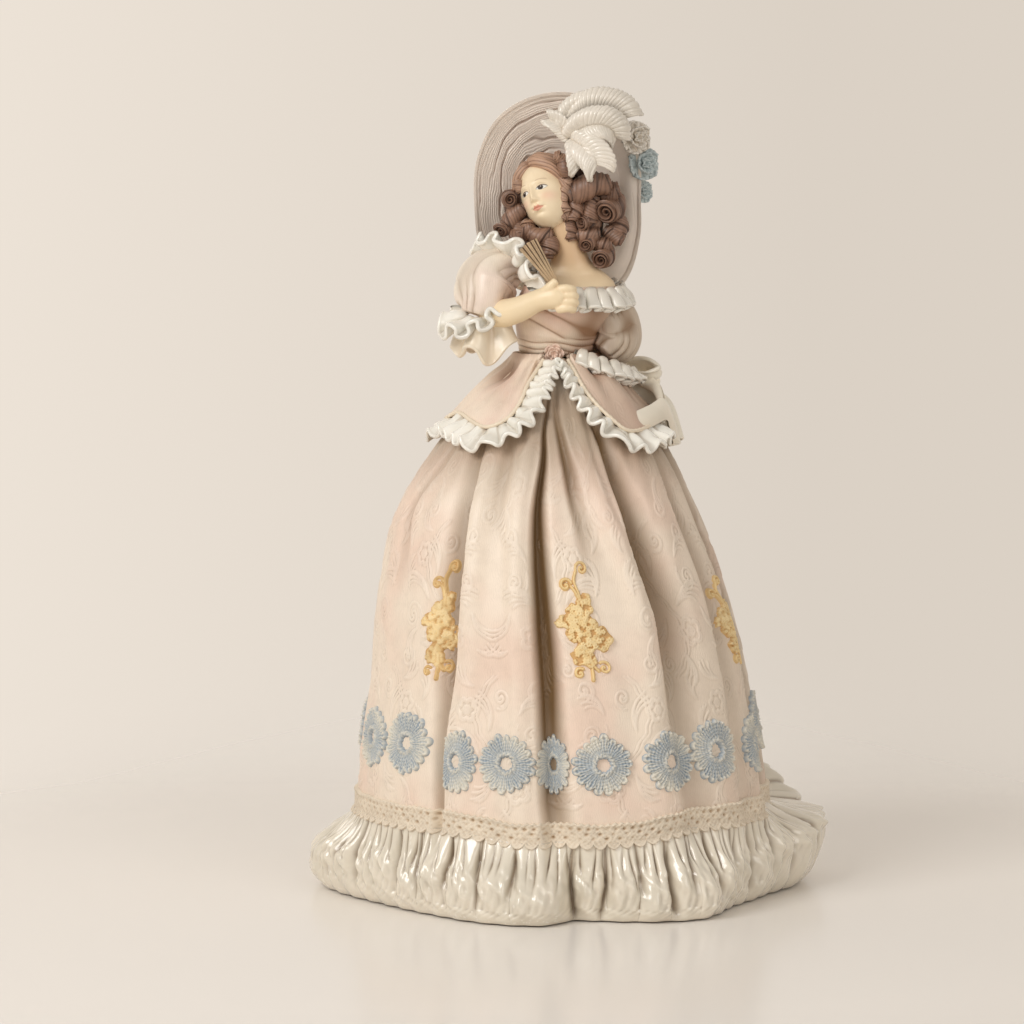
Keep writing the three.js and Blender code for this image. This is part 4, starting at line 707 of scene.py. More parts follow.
def build_lace():
    a, y = grid_of(np.linspace(-180, 180, 1900, endpoint=False), np.linspace(-2.6, 9.4, 44))
    s = np.radians(a) * LACE_RADIUS
    scallop = 0.5 - 1.9 * np.abs(np.sin(s * np.pi / SCALLOP)) ** 0.7
    top = 8.5 + 0.3 * np.sin(s * 2.4) + 0.25 * np.sin(s * 0.37)
    edge = step(y, scallop - 0.3, scallop + 0.3) * fade(y, top - 0.5, top)
    twist = np.sin(s * 3.1 + 1.1 * np.sin(y * 1.7 + 0.13 * s))
    knots = 0.5 + 0.5 * twist * np.sin(y * 3.4 + 1.3 * np.sin(s * 0.9))
    knots = 0.5 * knots + 0.5 * np.abs(np.sin(s * 6.1 + 2.6 * np.sin(y * 2.7 + 0.2 * s)))
    eyes = np.zeros_like(s)
    for row, pitch, shift in LACE_EYES:
        gap = (s + shift) % pitch - pitch / 2
        worn = 0.7 + 0.4 * np.sin(s * 0.31 + row)
        eyes = np.maximum(eyes, np.exp(-((gap / 0.75) ** 2) - (((y - row) / 0.55) ** 2)) * worn)
    cords = bell(y - top + 0.8, 0.4) + 0.8 * bell(y - scallop - 0.7, 0.45)
    value = edge * (0.5 + 0.24 * knots + 0.25 * cords) * clamp(1 - 1.1 * eyes)
    lip = 1.5 * fade(y, -1.4, 1.2)
    lift = LACE_RISE * value - 0.5 * (1 - edge) + lip * edge
    points = skirt_point(a, LACE_BOTTOM + y + seam_rise(a), lift)
    # Wash and painted shade: darker in the eyes and between the knots.
    hollow = clamp(eyes + 0.45 * fade(knots, 0.1, 0.5)) * edge * 0.75
    band = surface("lace", points, LACE, "lace", wrap_u=True, wash=hollow)
    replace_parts(band, "lace_band")


# The hem's reach from the middle, by angle
HEM_OUTLINE = [
    (-88, 102), (-58, 90), (-38, 90), (-16, 97), (-5, 96), (2, 86), (12, 89), (24, 95), (34, 98),
    (52, 88), (72, 91), (92, 106), (110, 110), (134, 99), (158, 104), (180, 98), (206, 103),
    (232, 97), (254, 103),
]
# Height at which the hem is widest, by angle, and how far its foot stands in from there
HEM_WIDEST = [
    (-110, 10), (-90, 11), (-68, 10.5), (-50, 7.6), (-30, 6.2), (0, 6), (30, 6.2), (60, 8.6),
    (78, 15), (92, 21), (108, 25), (122, 30), (136, 22), (160, 12), (200, 11), (225, 11),
]
# Long creases of the front: angle, depth, share of the fall that they reach
LONG_CREASES = [
    (-66, 3.4, 0.8), (-50, 4.4, 0.8), (-41, 3, 0.6), (-31, 3, 0.66), (-22, 3.4, 0.8), (-13, 3, 0.6),
    (1.4, 6, 1.1), (10.8, 4.6, 1.05), (18.4, 2.6, 0.6), (26, 4.4, 0.95), (33, 2.8, 0.66), (41, 4.6, 0.8),
    (50, 2.8, 0.6), (60, 4.4, 0.9), (70, 3.2, 0.8), (80, 4, 0.9), (91, 4.6, 0.9),
]


def hem_creases(a, v):
    """Creases that run down from the seam: how deep they make the ruffle, and how dark its painted shade in
    them.
    """
    chance = np.random.default_rng(12)
    creases = [(angle, depth, reach, 1.25, chance.uniform(-2, 2)) for angle, depth, reach in LONG_CREASES]
    angle = 100.0
    while angle < 290:
        deep, reach = chance.uniform(3, 4.6), chance.uniform(0.6, 0.95)
        creases.append((angle, deep, reach, 1.3, chance.uniform(-3, 3)))
        angle += chance.uniform(6, 11)
    angle = -180.0
    while angle < 178:
        deep, reach = chance.uniform(1.0, 2.8), chance.uniform(0.26, 0.55)
        creases.append((angle, deep, reach, chance.uniform(0.45, 0.85), chance.uniform(-2.5, 2.5)))
        angle += chance.uniform(1.7, 3.8) * (2.4 if 84 < angle < 160 else 1)
    depth, dark = np.zeros_like(a), np.zeros_like(a)
    for angle, deep, reach, width, lean in creases:
        near = np.abs(turn(a[:, 0] - angle)) < 7
        sway = lean * v[near] + 0.35 * np.sin(9 * v[near] + angle)
        away = np.radians(turn(a[near] - angle - sway)) * 88
        along = fade(v[near], 0.5 * reach, reach)
        spread = width * (1 + 1.1 * v[near])
        depth[near] += deep * along * np.exp(-np.abs(away / spread) ** 1.3)
        dark[near] = np.maximum(dark[near], along * min(deep / 3, 1) * bell(away, 0.55 * spread))
    return depth, dark


def pillows(a, v):
    """Rounded swellings between the long creases."""
    chance = np.random.default_rng(31)
    rest = np.arange(101, 288, 10.5)
    rest = rest + chance.uniform(-2.5, 2.5, len(rest))
    places = np.sort(turn([angle for angle, *_ in LONG_CREASES] + list(rest)))
    places = np.concatenate([[places[-1] - 360], places, [places[0] + 360]])
    slot = np.clip(np.searchsorted(places, turn(a)) - 1, 0, len(places) - 2)
    share = (turn(a) - places[slot]) / (places[slot + 1] - places[slot])
    tall = 0.6 + 0.4 * np.sin(2.1 * slot)
    dome = np.sqrt(clamp(1 - (2 * share - 1) ** 2))
    peak = 0.46 + 0.14 * np.sin(3.7 * slot)
    return tall * dome * bell(v - peak, 0.22)


# Shares of the hem's section: down to its widest, then to the foot, then under it
HEM_TURN, HEM_FOOT = 0.6, 0.9
HEM_SEAM, HEM_REACH = 31, [(0, 0), (0.1, 0.12), (0.3, 0.4), (0.6, 0.8), (0.85, 0.97), (1, 1)]
# The raised lobe at the back: angle, half width in degrees and how much higher it stands
LOBE_ANGLE, LOBE_WIDTH, LOBE_RISE = 129, 13, 12.5
PILLOW_RISE, FOOT_RADIUS, SKIRT_CENTRE = 3.4, 76, 1.5


def hem_fall(a, widest, upper, lower, under):
    """Height of every point of the hem's section."""
    top = HEM_SEAM + seam_rise(a)
    fall = widest + (top - widest) * (1 - upper) ** 0.9 * (1 - 0.12 * np.sin(np.pi * upper))
    lobe = np.exp(-np.abs(turn(a - LOBE_ANGLE) / LOBE_WIDTH) ** 2.6)
    fall = fall + LOBE_RISE * np.sin(np.pi * upper) * lobe
    fall = np.where(lower > 0, 0.6 + (widest - 0.6) * (1 - lower) ** 1.15, fall)
    return fall - 0.2 * under


def build_hem():
    a, v = grid_of(np.linspace(-180, 180, 2200, endpoint=False), np.linspace(0, 1, 96))
    hem, widest = through(HEM_OUTLINE, a, 360), through(HEM_WIDEST, a, 360)
    seam = through(SKIRT_PROFILE, 30 + 0 * a)[..., 0] - fold_depth(a, 30 + 0 * a) + 1.3
    upper = clamp(v / HEM_TURN)
    lower = clamp((v - HEM_TURN) / 0.3)
    under = clamp((v - HEM_FOOT) / 0.1)
    fall = hem_fall(a, widest, upper, lower, under)
    depth, dark = hem_creases(a, v)
    dents = 0.75 * np.sin(a * 1.3 + 3 * np.sin(v * 6)) * np.sin(v * 13 + a * 0.31)
    dents = dents + 0.3 * np.sin(a * 2.7 + 4 * np.sin(v * 9)) * np.sin(v * 21 + a * 0.57)
    dents = dents * step(v, 0.15, 0.3) * fade(v, 0.55, 0.85)
    foot_in = 2.2 + 0.5 * (widest - 6)
    radius = seam + (hem - 1.4 - seam) * through(HEM_REACH, upper) - foot_in * lower**2.4
    bulge = (PILLOW_RISE * pillows(a, v) + 1.4 * np.sin(np.pi * upper) - 0.4) * step(v, 0.0, 0.05)
    radius = radius + bulge - depth * (0.15 + 0.85 * step(v, 0.02, 0.2))
    radius = radius + dents + 0.5 * np.sin(a * 0.9 + 1) * step(v, 0.5, 0.8)
    level = np.clip(fall, 2, 200)
    inner = through(SKIRT_PROFILE, level)[..., 0] - fold_depth(a, level)
    radius = np.where(v < 0.85, np.maximum(radius, inner + 0.35), radius)
    radius = np.where(v > HEM_FOOT, np.maximum(radius - 8 * under, FOOT_RADIUS), radius)
    turned = np.radians(a)
    x, y = SKIRT_CENTRE + radius * np.sin(turned), -radius * np.cos(turned) * DEPTH_SHARE
    points = np.stack([x, y, fall], -1)
    # Painted shade in the creases, at the seam and under the foot.
    wash = clamp(0.8 * dark + 0.25 * fade(v, 0, 0.06) + 0.2 * step(v, 0.82, 0.95))
    ruffle = surface("hem", points, HEM_GLAZE, "pearl", wrap_u=True, wash=wash)
    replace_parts(ruffle, "hem_ruffle")


# Overskirt with its piping and ruffle
OVERSKIRT_EDGE = [
    (-18, 211), (-21, 206.5), (-23.5, 202), (-24, 196.5), (-26, 191), (-31, 187.6), (-39, 186.4),
    (-52, 188.6), (-70, 190.4), (-92, 187), (-116, 188.4), (-142, 185), (-168, 187), (-194, 185),
    (-220, 188), (-246, 186.4), (-270, 189), (-290, 187.6), (-306, 185.4), (-319, 185),
    (-326, 189.6), (-333, 196.5), (-337, 202), (-339, 206.5), (-342, 211),
]
# Width of its ruffle at each share of the edge
EDGE_WIDTHS = [
    (0, 7.5), (0.06, 9), (0.14, 10), (0.3, 10), (0.5, 10), (0.84, 8.5), (0.9, 6), (0.96, 5), (1, 4.5),
]
# Hollows of the overskirt: angle, height, reach round, reach up, depth
OVERSKIRT_HOLLOWS = [
    (-62, 206, 16, 5, 3.0), (-30, 205, 5, 6, 1.2), (-46, 198, 8, 6, -1.2),
    (40, 207, 8, 4, 2.0), (52, 196, 7, 8, -1.6), (66, 203, 6, 8, 1.6),
]
OVERSKIRT_HOLLOWS += [(angle, 205 + (angle > 100), 12, 5, 1.6) for angle in (100, 150, 200, 250)]
# The overskirt lies this far over the skirt and keeps this share of its folds
OVER_LIFT, OVER_FOLDS, CLOTH_THICKNESS = 3.6, 0.3, 1.8
PIPING_RADIUS, PIPING_STRANDS, PIPING_TURNS = 0.85, 3, 100


def edge_frame(t):
    def at(s, lift):
        edge = path(OVERSKIRT_EDGE, clamp(s))
        return skirt_point(edge[..., 0], edge[..., 1], lift + 1.2, OVER_FOLDS)
    point = at(t, 1.0)
    out = unit(at(t, 2.0) - point)
    along = unit(at(t + 0.004, 1.0) - at(t - 0.004, 1.0))
    return point, out, unit(np.cross(out, along)), along


def rounded_sheet(name, sheet, paint, slot, wash, half=0.5, bead=0.85):
    """A sheet with body: two faces and a rolled edge along its last column."""
    facing = normals(sheet)
    share = np.linspace(0, 1, sheet.shape[1])[None, :, None]
    thick = half + (0.85 * bead - half) * share**2
    front, back = sheet + facing * thick, (sheet - facing * thick)[:, ::-1]
    reach = unit(sheet[:, -1] - sheet[:, -3])
    turned = np.radians(np.linspace(75, -75, 7))
    rim = (sheet[:, -1, None] + bead * (np.sin(turned)[None, :, None] * facing[:, -1, None]
                                        + np.cos(turned)[None, :, None] * reach[:, None]))
    points = np.concatenate([front, rim, back], 1)
    wash = np.broadcast_to(wash, sheet.shape[:2])
    tint = np.concatenate([wash, np.repeat(wash[:, -1:], 7, 1), wash[:, ::-1]], 1)
    return surface(name, points, paint, slot, wrap_v=True, wash=tint)


def build_overskirt():
    t, v = grid_of(np.linspace(0, 1, 620), np.linspace(0, 1.03, 84))
    edge = path(OVERSKIRT_EDGE, t)
    angle = edge[..., 0]
    top = WAIST - 0.6
    height = top + (edge[..., 1] - top) * v
    gather = 0.5 * np.sin(angle * 0.42 + 1.5 * np.sin(v * 3)) * (1 - 0.7 * v)
    relief = damask_at(angle * 1.35 + 20, 45 + (height - 184) * 1.6)
    hollow = np.zeros_like(v)
    for place, level, reach_round, up, depth in OVERSKIRT_HOLLOWS:
        away = (turn(angle - place) / reach_round) ** 2 + ((height - level) / up) ** 2
        hollow = hollow + depth * np.exp(-away)
    # Folds that fan out from the point of the bodice
    away = np.radians(turn(angle + 4)) * 62 * np.clip(v, 0.05, 1)
    ray = np.arctan2(away, top + 4 - height)
    drape = np.sin(7.5 * ray + 1.2 * np.sin(2.2 * ray)) * step(v, 0.08, 0.3) * fade(v, 0.62, 0.95)
    lift = OVER_LIFT + 0.1 * relief + 0.9 * drape + gather * step(v, 0.02, 0.2) - hollow * step(v, 0, 0.15)
    points = skirt_point(angle, height, lift, OVER_FOLDS)
    # Painted shade: at the waist, in the hollows, between the drapes and on the right side, away from the key
    # light.
    wash = 0.35 * fade(v, 0.0, 0.14) + 0.75 * clamp(hollow / 3) ** 1.2
    wash = wash + 0.22 * clamp(-drape) ** 1.5 + 0.5 * step(turn(angle), 12, 30)
    panel = surface("overskirt_cloth", points, BLUSH_PAINT, "bisque", relief=relief, wash=clamp(wash))
    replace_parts(solidify(panel, CLOTH_THICKNESS), "overskirt")
    build_piping()
    t, v = grid_of(np.linspace(0, 1, 3000), np.linspace(0, 1, 22))
    point, out, down, along = edge_frame(t)
    width = through(EDGE_WIDTHS, t)[..., None]
    strip, hollow = loop_ruffle(point + down * 1.2, down * width, out, along, t, v, 40, 1.45, 0.1, 2.4, 5)
    # Painted shade inside the loops and along the root.
    wash = clamp(0.5 * hollow + 0.2 * fade(v, 0, 0.15))
    ruffle = rounded_sheet("overskirt_frill", strip, PEARL, "pearl", wash, 0.9, 0.9)
    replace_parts(ruffle, "overskirt_ruffle")


def build_piping():
    """A cord of twisted strands along the overskirt's edge."""
    t = np.linspace(0, 1, 700)
    point, out, down, _ = edge_frame(t)
    turned = circle(12)
    centre = point + down * 1.0 + out * 1.5
    twist = 0.88 + 0.12 * np.cos(PIPING_STRANDS * turned[None, :] + 2 * PIPING_TURNS * np.pi * t[:, None])
    ring = (np.cos(turned)[None, :, None] * out[:, None] + np.sin(turned)[None, :, None] * down[:, None])
    tube = centre[:, None] + PIPING_RADIUS * twist[..., None] * ring
    cord = surface("piping", tube, ROSE_CREAM, "lace", wrap_v=True, wash=np.zeros(tube.shape[:2]))
    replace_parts(cord, "overskirt_piping")


def loop_ruffle(root, way, out, along, t, v, waves, wave, gather, flare, seed):
    """A gathered strip that winds in fat loops towards its edge, and a mask of the loops' hollows for painted
    shade.
    """
    chance = np.random.default_rng(seed)
    knots = np.linspace(0, 1, waves + 1)
    knots[1:-1] += chance.uniform(-0.24, 0.24, waves - 1) / waves
    phase = 2 * np.pi * np.interp(t, knots, np.arange(waves + 1))
    size = np.interp(t, knots, chance.uniform(0.75, 1.25, waves + 1))
    grow = 0.3 + 0.7 * v**0.9
    lift = flare * v**1.4 + wave * size * grow * np.sin(phase) + 0.35 * np.sin(6 * v + 0.7 * phase)
    slide = -gather * size * grow * np.sin(2 * phase)
    reach = v * (1 + 0.12 * np.cos(phase + 1) * v) + 0.02 * np.sin(2.3 * phase) * v
    strip = root + way * reach[..., None] + out * lift[..., None] + along * slide[..., None]
    hollow = fade(np.sin(phase), -0.95, -0.1) * (1 - 0.5 * v)
    return strip, hollow


def frill_piece(name, node, root, spread, waves, wave, gather, flare, seed):
    t, v = grid_of(np.linspace(0, 1, max(260, waves * 60)), np.linspace(0, 1, 26))
    base = path(root, t) + AT_WAIST
    way = path(spread, t)
    along = unit(path(root, clamp(t + 0.01)) - path(root, clamp(t - 0.01)))
    out = unit(np.cross(along, way))
    strip, hollow = loop_ruffle(base, way, out, along, t, v, waves, wave, gather, flare, seed)
    # Painted shade inside the loops and along the root.
    wash = clamp(0.4 * hollow + 0.2 * fade(v, 0, 0.2))
    paint = FLOUNCE if node == "flounce_right" else PEARL
    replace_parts(rounded_sheet(name, strip, paint, "pearl", wash, 0.95, 0.95), node)


# Rounded forms swept along a line of stations
def limb_grid(stations, sides, steps, start=(0, 1, 0)):
    """Rings square to a line of [x, y, height from the waist, radius] stations."""
    t = np.linspace(0, 1, steps)
    rows = path(stations, t)
    centre = rows[:, :3] + AT_WAIST
    along = unit(np.gradient(centre, axis=0))
    side = np.array(start, float)
    rings = []
    angle = circle(sides)
    for direction in along:
        side = unit(side - direction * (side @ direction))
        other = np.cross(direction, side)
        rings.append(np.cos(angle)[:, None] * side + np.sin(angle)[:, None] * other)
    return centre, rows[:, 3], np.array(rings), t, angle


def round_ends(t, share=0.04):
    near = clamp(1 - np.minimum(t, 1 - t) / share)
    return np.sqrt(clamp(1 - near**2))


def limb(name, stations, paint, slot, sides=64, steps=70, swell=None, **marks):
    centre, radius, rings, t, angle = limb_grid(stations, sides, steps)
    reach = np.repeat((radius * round_ends(t))[:, None], sides, 1)
    if swell is not None:
        reach = reach + swell(t[:, None], angle[None, :]) * (reach > 0.3)
    points = centre[:, None] + rings * reach[..., None]
    marks.setdefault("wash", np.zeros(points.shape[:2]))
    return surface(name, points, paint, slot, wrap_v=True, **marks)


def rows_grid(rows, sides, steps):
    """Oval rows of centre x, centre y, height, half width and half depth."""
    rows = np.asarray(rows, float)
    z = np.linspace(rows[0, 2], rows[-1, 2], steps)
    x, y, wide, deep = through(rows[:, [2, 0, 1, 3, 4]], z).T
    angle = circle(sides)
    return z, angle, x, y, wide, deep


def oval_points(x, y, z, wide, deep, angle, swell=0.0):
    return np.stack([x[:, None] + (wide[:, None] + swell) * np.cos(angle),
                     y[:, None] + (deep[:, None] + swell) * np.sin(angle),
                     z[:, None] + WAIST + 0 * angle[None, :]], -1)


SKIN = plain_paint("ivory_skin", (241, 219, 182), (206, 160, 118), 0.36, 0.05, 0.02, 0.5)
SLEEVE = dress_paint("sleeve_bisque", (240, 228, 210), (230, 208, 194), (150, 122, 96), 0.36)
BODICE = dress_paint("bodice_bisque", (246, 232, 210), (232, 196, 176), (150, 112, 82), 0.45)
RIBBON = pearl_paint("ribbon_glaze", (246, 237, 219), (176, 148, 114), 0.3, 0.1)
ROSE = plain_paint("rose_paint", (240, 212, 194), (212, 168, 148), 0.5, 0.2, 0.06, 0.3)
# Ovals from the waist up: centre x, centre y, height, half width, half depth
BODICE_ROWS = [
    (-1.9, 0, 0.3, 14, 11.8), (-1.4, -0.5, 6, 15.6, 12.8), (-0.2, -1.5, 12.5, 17.6, 14.6),
    (1.6, -2.6, 18.5, 19.4, 16.2), (3.4, -2.4, 24, 19.8, 15.4), (4.2, -1.4, 28, 18.6, 12.8),
]
BUST_ROWS = [
    (4.2, -1.4, 20, 13, 9), (4.4, -1.6, 25, 17.4, 12.6), (4.6, -1.4, 29, 17, 11),
    (5, -1.2, 32.5, 13.4, 8.6), (4.8, -1.4, 35.5, 9.6, 7.6), (3.8, -2, 39, 7.6, 7),
    (2.6, -2.6, 44, 7, 6.6), (1.2, -3.2, 49.5, 6.6, 6.4), (0, -3.6, 53.5, 5.6, 5.4),
    (-1.6, -3.8, 58, 4, 4),
]
ROSETTE_PLACE = (-2.6, -13.8, 1.6)
# Rings of the rosette: radius, petals and how far they stand out
ROSETTE_RINGS = ((4.0, 5, 0.0), (2.9, 5, 0.7), (1.7, 3, 1.2))


def build_bust():
    z, angle, x, y, wide, deep = rows_grid(BUST_ROWS, 96, 90)
    z_column, across = z[:, None], np.cos(angle)[None, :]
    front = clamp(-np.sin(angle))[None, :]
    parting = 1 - 0.75 * bell(across, 0.16)
    chest = 1.1 * bell(z_column - 25, 4.5) * front * parting
    bones = 0.4 * bell(z_column - 33 - 2.2 * np.abs(across), 1.2) * front
    points = oval_points(x, y, z, wide, deep, angle, chest + bones)
    shade = 0.45 * step(z_column, 33, 40) * (1 - 0.3 * front) + 0.24 * (1 - chest)
    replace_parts(surface("bust_skin", points, SKIN, "skin", wrap_v=True, wash=shade), "bust")


def build_bodice():
    """Cloth draped across the chest over a pleated sash."""
    z, angle, x, y, wide, deep = rows_grid(BODICE_ROWS, 260, 130)
    h, a = z[:, None], angle[None, :]
    side = np.cos(a)
    lean = h / 8.5 + 0.85 * side + 0.25 * np.sin(2.3 * a + h / 6)
    drape = np.abs(np.sin(np.pi * lean)) ** 0.8 * (0.6 + 0.4 * np.sin(3 * a + 1))
    gathers = np.abs(np.sin(9 * a + 0.7 * np.sin(h / 3))) * step(h, 18, 27)
    sash = np.abs(np.sin(np.pi * (h / 2.7 + 0.5 * side + 0.15 * np.sin(5 * a)))) ** 0.6
    low = fade(h, 6, 8.5)
    swell = (0.5 * sash * low + 1.1 * drape * (1 - low) + 0.35 * gathers) * step(h, 0.5, 2) - 0.3
    # Painted highlight on the drapes' ridges, on the side towards the key light.
    painted_highlight = 0.9 * clamp(drape) ** 2 * (1 - low) * fade(side, -0.1, 0.5)
    points = oval_points(x, y, z, wide, deep, angle, swell)
    # Painted shade in the folds' hollows and on the right side.
    wash = clamp(1 - (swell + 0.2) / 0.5) ** 2 * 0.6 + 0.06 + 0.4 * step(side, -0.1, 0.75)
    cloth = surface("bodice_cloth", points, BODICE, "bisque", wrap_v=True, relief=painted_highlight, wash=wash)
    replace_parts(cloth, "bodice")


def build_rosette():
    """A rose of three rings of cupped petals."""
    px, py, pz = ROSETTE_PLACE
    turned = np.linspace(0, 2 * np.pi, 120)
    share = np.linspace(0.06, 1, 12)[:, None]
    # Painted shade towards the heart of each ring.
    wash = 0.5 * fade(share, 0.1, 0.6) + 0 * turned
    for ring, (radius, petals, rise) in enumerate(ROSETTE_RINGS):
        lobe = np.abs(np.cos(petals * turned / 2 + ring))
        reach = radius * (0.74 + 0.26 * lobe**0.6) * share
        cup = rise + 1.3 * share**2.2 * (0.7 + 0.5 * lobe) + 0.3 * share * np.cos(7 * turned + ring)
        points = np.stack([px + reach * np.cos(turned), py - cup, pz + WAIST + reach * np.sin(turned)], -1)
        petal = surface(f"rosette_{ring}", points, ROSE, "rose", wash=wash)
        solidify(petal, 0.5, 0)
        if ring == 0:
            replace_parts(petal, "waist_rosette")


# Arms, as lines of x, y, height from the waist and radius
SLEEVE_RIGHT = [(-15, -1, 32, 6), (-20.5, -2, 34, 9), (-27.5, -4, 31.4, 11.6), (-29.8, -6.5, 26.4, 12.2),
                (-30.6, -10, 20.2, 9.6), (-31.8, -10.6, 16, 6.5)]
SLEEVE_LEFT = [(16.6, 1, 24.4, 5), (19.4, 1, 19.4, 7.4), (21.6, 1.5, 13, 9.0), (20.8, 1.5, 6.5, 10.4),
               (16.2, 0.5, 1, 7.6)]
FOREARM_RIGHT = [
    (-31, -9.5, 17.6, 5.4), (-25, -14, 17.2, 5.7), (-17, -19.4, 19.2, 5.2), (-10, -23.4, 22.6, 4.4),
    (-6, -25.2, 24, 4.5), (-1.6, -26, 24.6, 5.0), (1.6, -25.6, 24, 4.2),
]
FOREARM_LEFT = [
    (16, 8, 2, 5.4), (12, 15, 0, 4.6), (4, 19.5, -1, 3.8), (-3, 20.5, -1, 4.2), (-8, 20, -1.4, 3.2),
]
# Puffed sleeves: piece, node, line, seed, folds, depth of the gathers, painted shade all over
SLEEVES = [
    ("sleeve_puff_right", "sleeve_right", SLEEVE_RIGHT, 2, 9, 1.1, 0.0),
    ("sleeve_puff_left", "sleeve_left", SLEEVE_LEFT, 6, 15, 1.6, 0.55),
]
# Squares of the skin that the arms are melted into
SKIN_MESH_RIGHT, SKIN_MESH_LEFT = 0.36, 0.45
SLEEVE_SIDES, SLEEVE_STEPS = 170, 120


def puff(seed, folds, depth):
    """Gathers at both ends of a puffed sleeve, with soft broad folds between."""
    chance = np.random.default_rng(seed)
    shift = chance.uniform(0, 6.28, 4)

    def swell(t, a):
        ends = fade(t, 0.05, 0.5) + step(t, 0.5, 0.95)
        sharp = np.abs(np.sin(folds / 2 * a + shift[0] + 1.6 * np.sin(t * 3 + 2 * np.sin(2 * a)))) ** 0.8
        broad = np.sin(3 * a + shift[1] + 3 * t) + 0.7 * np.sin(2 * a + shift[2] - 6 * t)
        crumple = np.abs(np.sin(1.5 * a + shift[3] + 5 * t + 1.5 * np.sin(2 * a - 4 * t))) ** 0.7 - 0.6
        return depth * ends * (sharp - 0.7) + 0.65 * broad + 0.9 * crumple * np.sin(np.pi * t)
    return swell


def build_arms():
    t, a = np.linspace(0, 1, SLEEVE_STEPS)[:, None], circle(SLEEVE_SIDES)[None, :]
    for name, node, stations, seed, folds, depth, base in SLEEVES:
        swell = puff(seed, folds, depth)
        # Painted shade in the gathers' hollows, and all over the sleeve that hangs in shade.
        wash = clamp(-(swell(t, a) + 0.1) / 1.5) * 0.7 + base
        sleeve = limb(name, stations, SLEEVE, "sleeve", SLEEVE_SIDES, SLEEVE_STEPS, swell,
                      wash=wash, relief=0 * wash)
        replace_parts(sleeve, node)
    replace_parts(sculpt("arm_right", [FOREARM_RIGHT, *hand_right()], SKIN_MESH_RIGHT), "forearm_right")
    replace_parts(sculpt("arm_left", [FOREARM_LEFT, *hand_left()], SKIN_MESH_LEFT), "forearm_left")


def hand_right():
    """Four fingers curled round the fan, and the thumb along it."""
    fingers = []
    for k in range(4):
        z = 28.0 - 2.55 * k
        bend = 0.9 * k * (3 - k) / 2
        fingers.append([(-2, -27, z - 0.6, 2.0), (1.8 + bend, -29, z, 1.75),
                        (4.2 + bend, -28.4, z - 0.2, 1.6), (4.8 + bend, -26.4, z - 0.8, 1.45),
                        (3.4 + bend, -25, z - 1.2, 1.3)])
    thumb = [(-6.4, -26, 26, 2.4), (-4.8, -28, 28.2, 1.9), (-3, -28.6, 30, 1.65), (-1.8, -28.4, 31.4, 1.4)]
    return [*fingers, thumb]


def hand_left():
    """The hand behind the back, as two folded fingers."""
    return [[(-6, 20 + k, -0.6 - k, 1.7), (-9.5, 19 + k, -1.4 - k, 1.5), (-12, 17.6 + k, -2.4 - k, 1.2)]
            for k in (0, 1)]


def closed_tube(stations, start, sides=24, steps=34):
    """Points and triangles of one rounded tube with both ends shut."""
    centre, radius, rings, t, _ = limb_grid(stations, sides, steps)
    reach = radius * np.maximum(round_ends(t, 0.1), 0.12)
    skin = centre[:, None] + rings * reach[:, None, None]
    points = np.vstack([skin.reshape(-1, 3), centre[:1], centre[-1:]])
    quads = grid_faces(steps, sides, False, True)
    around = np.arange(sides)
    after = (around + 1) % sides
    last = (steps - 1) * sides
    first_cap = np.column_stack([around, after, 0 * around + steps * sides])
    last_cap = np.column_stack([last + after, last + around, 0 * around + steps * sides + 1])
    return points, start + np.vstack([quads[:, [0, 1, 2]], quads[:, [0, 2, 3]], first_cap, last_cap])


def sculpt(name, limbs, voxel):
    """Limbs melted into one skin."""
    points, faces, start = [], [], 0
    for stations in limbs:
        tube, triangles = closed_tube(stations, start)
        points.append(tube)
        faces.append(triangles)
        start += len(tube)
    obj = make(name, np.vstack(points), np.vstack(faces), SKIN)
    mesh = obj.modifiers.new("melt", "REMESH")
    mesh.mode = "VOXEL"
    mesh.voxel_size = voxel / 1000
    mesh.use_smooth_shade = True
    soft = obj.modifiers.new("soft", "SMOOTH")
    soft.factor = 0.5
    soft.iterations = 4
    return obj


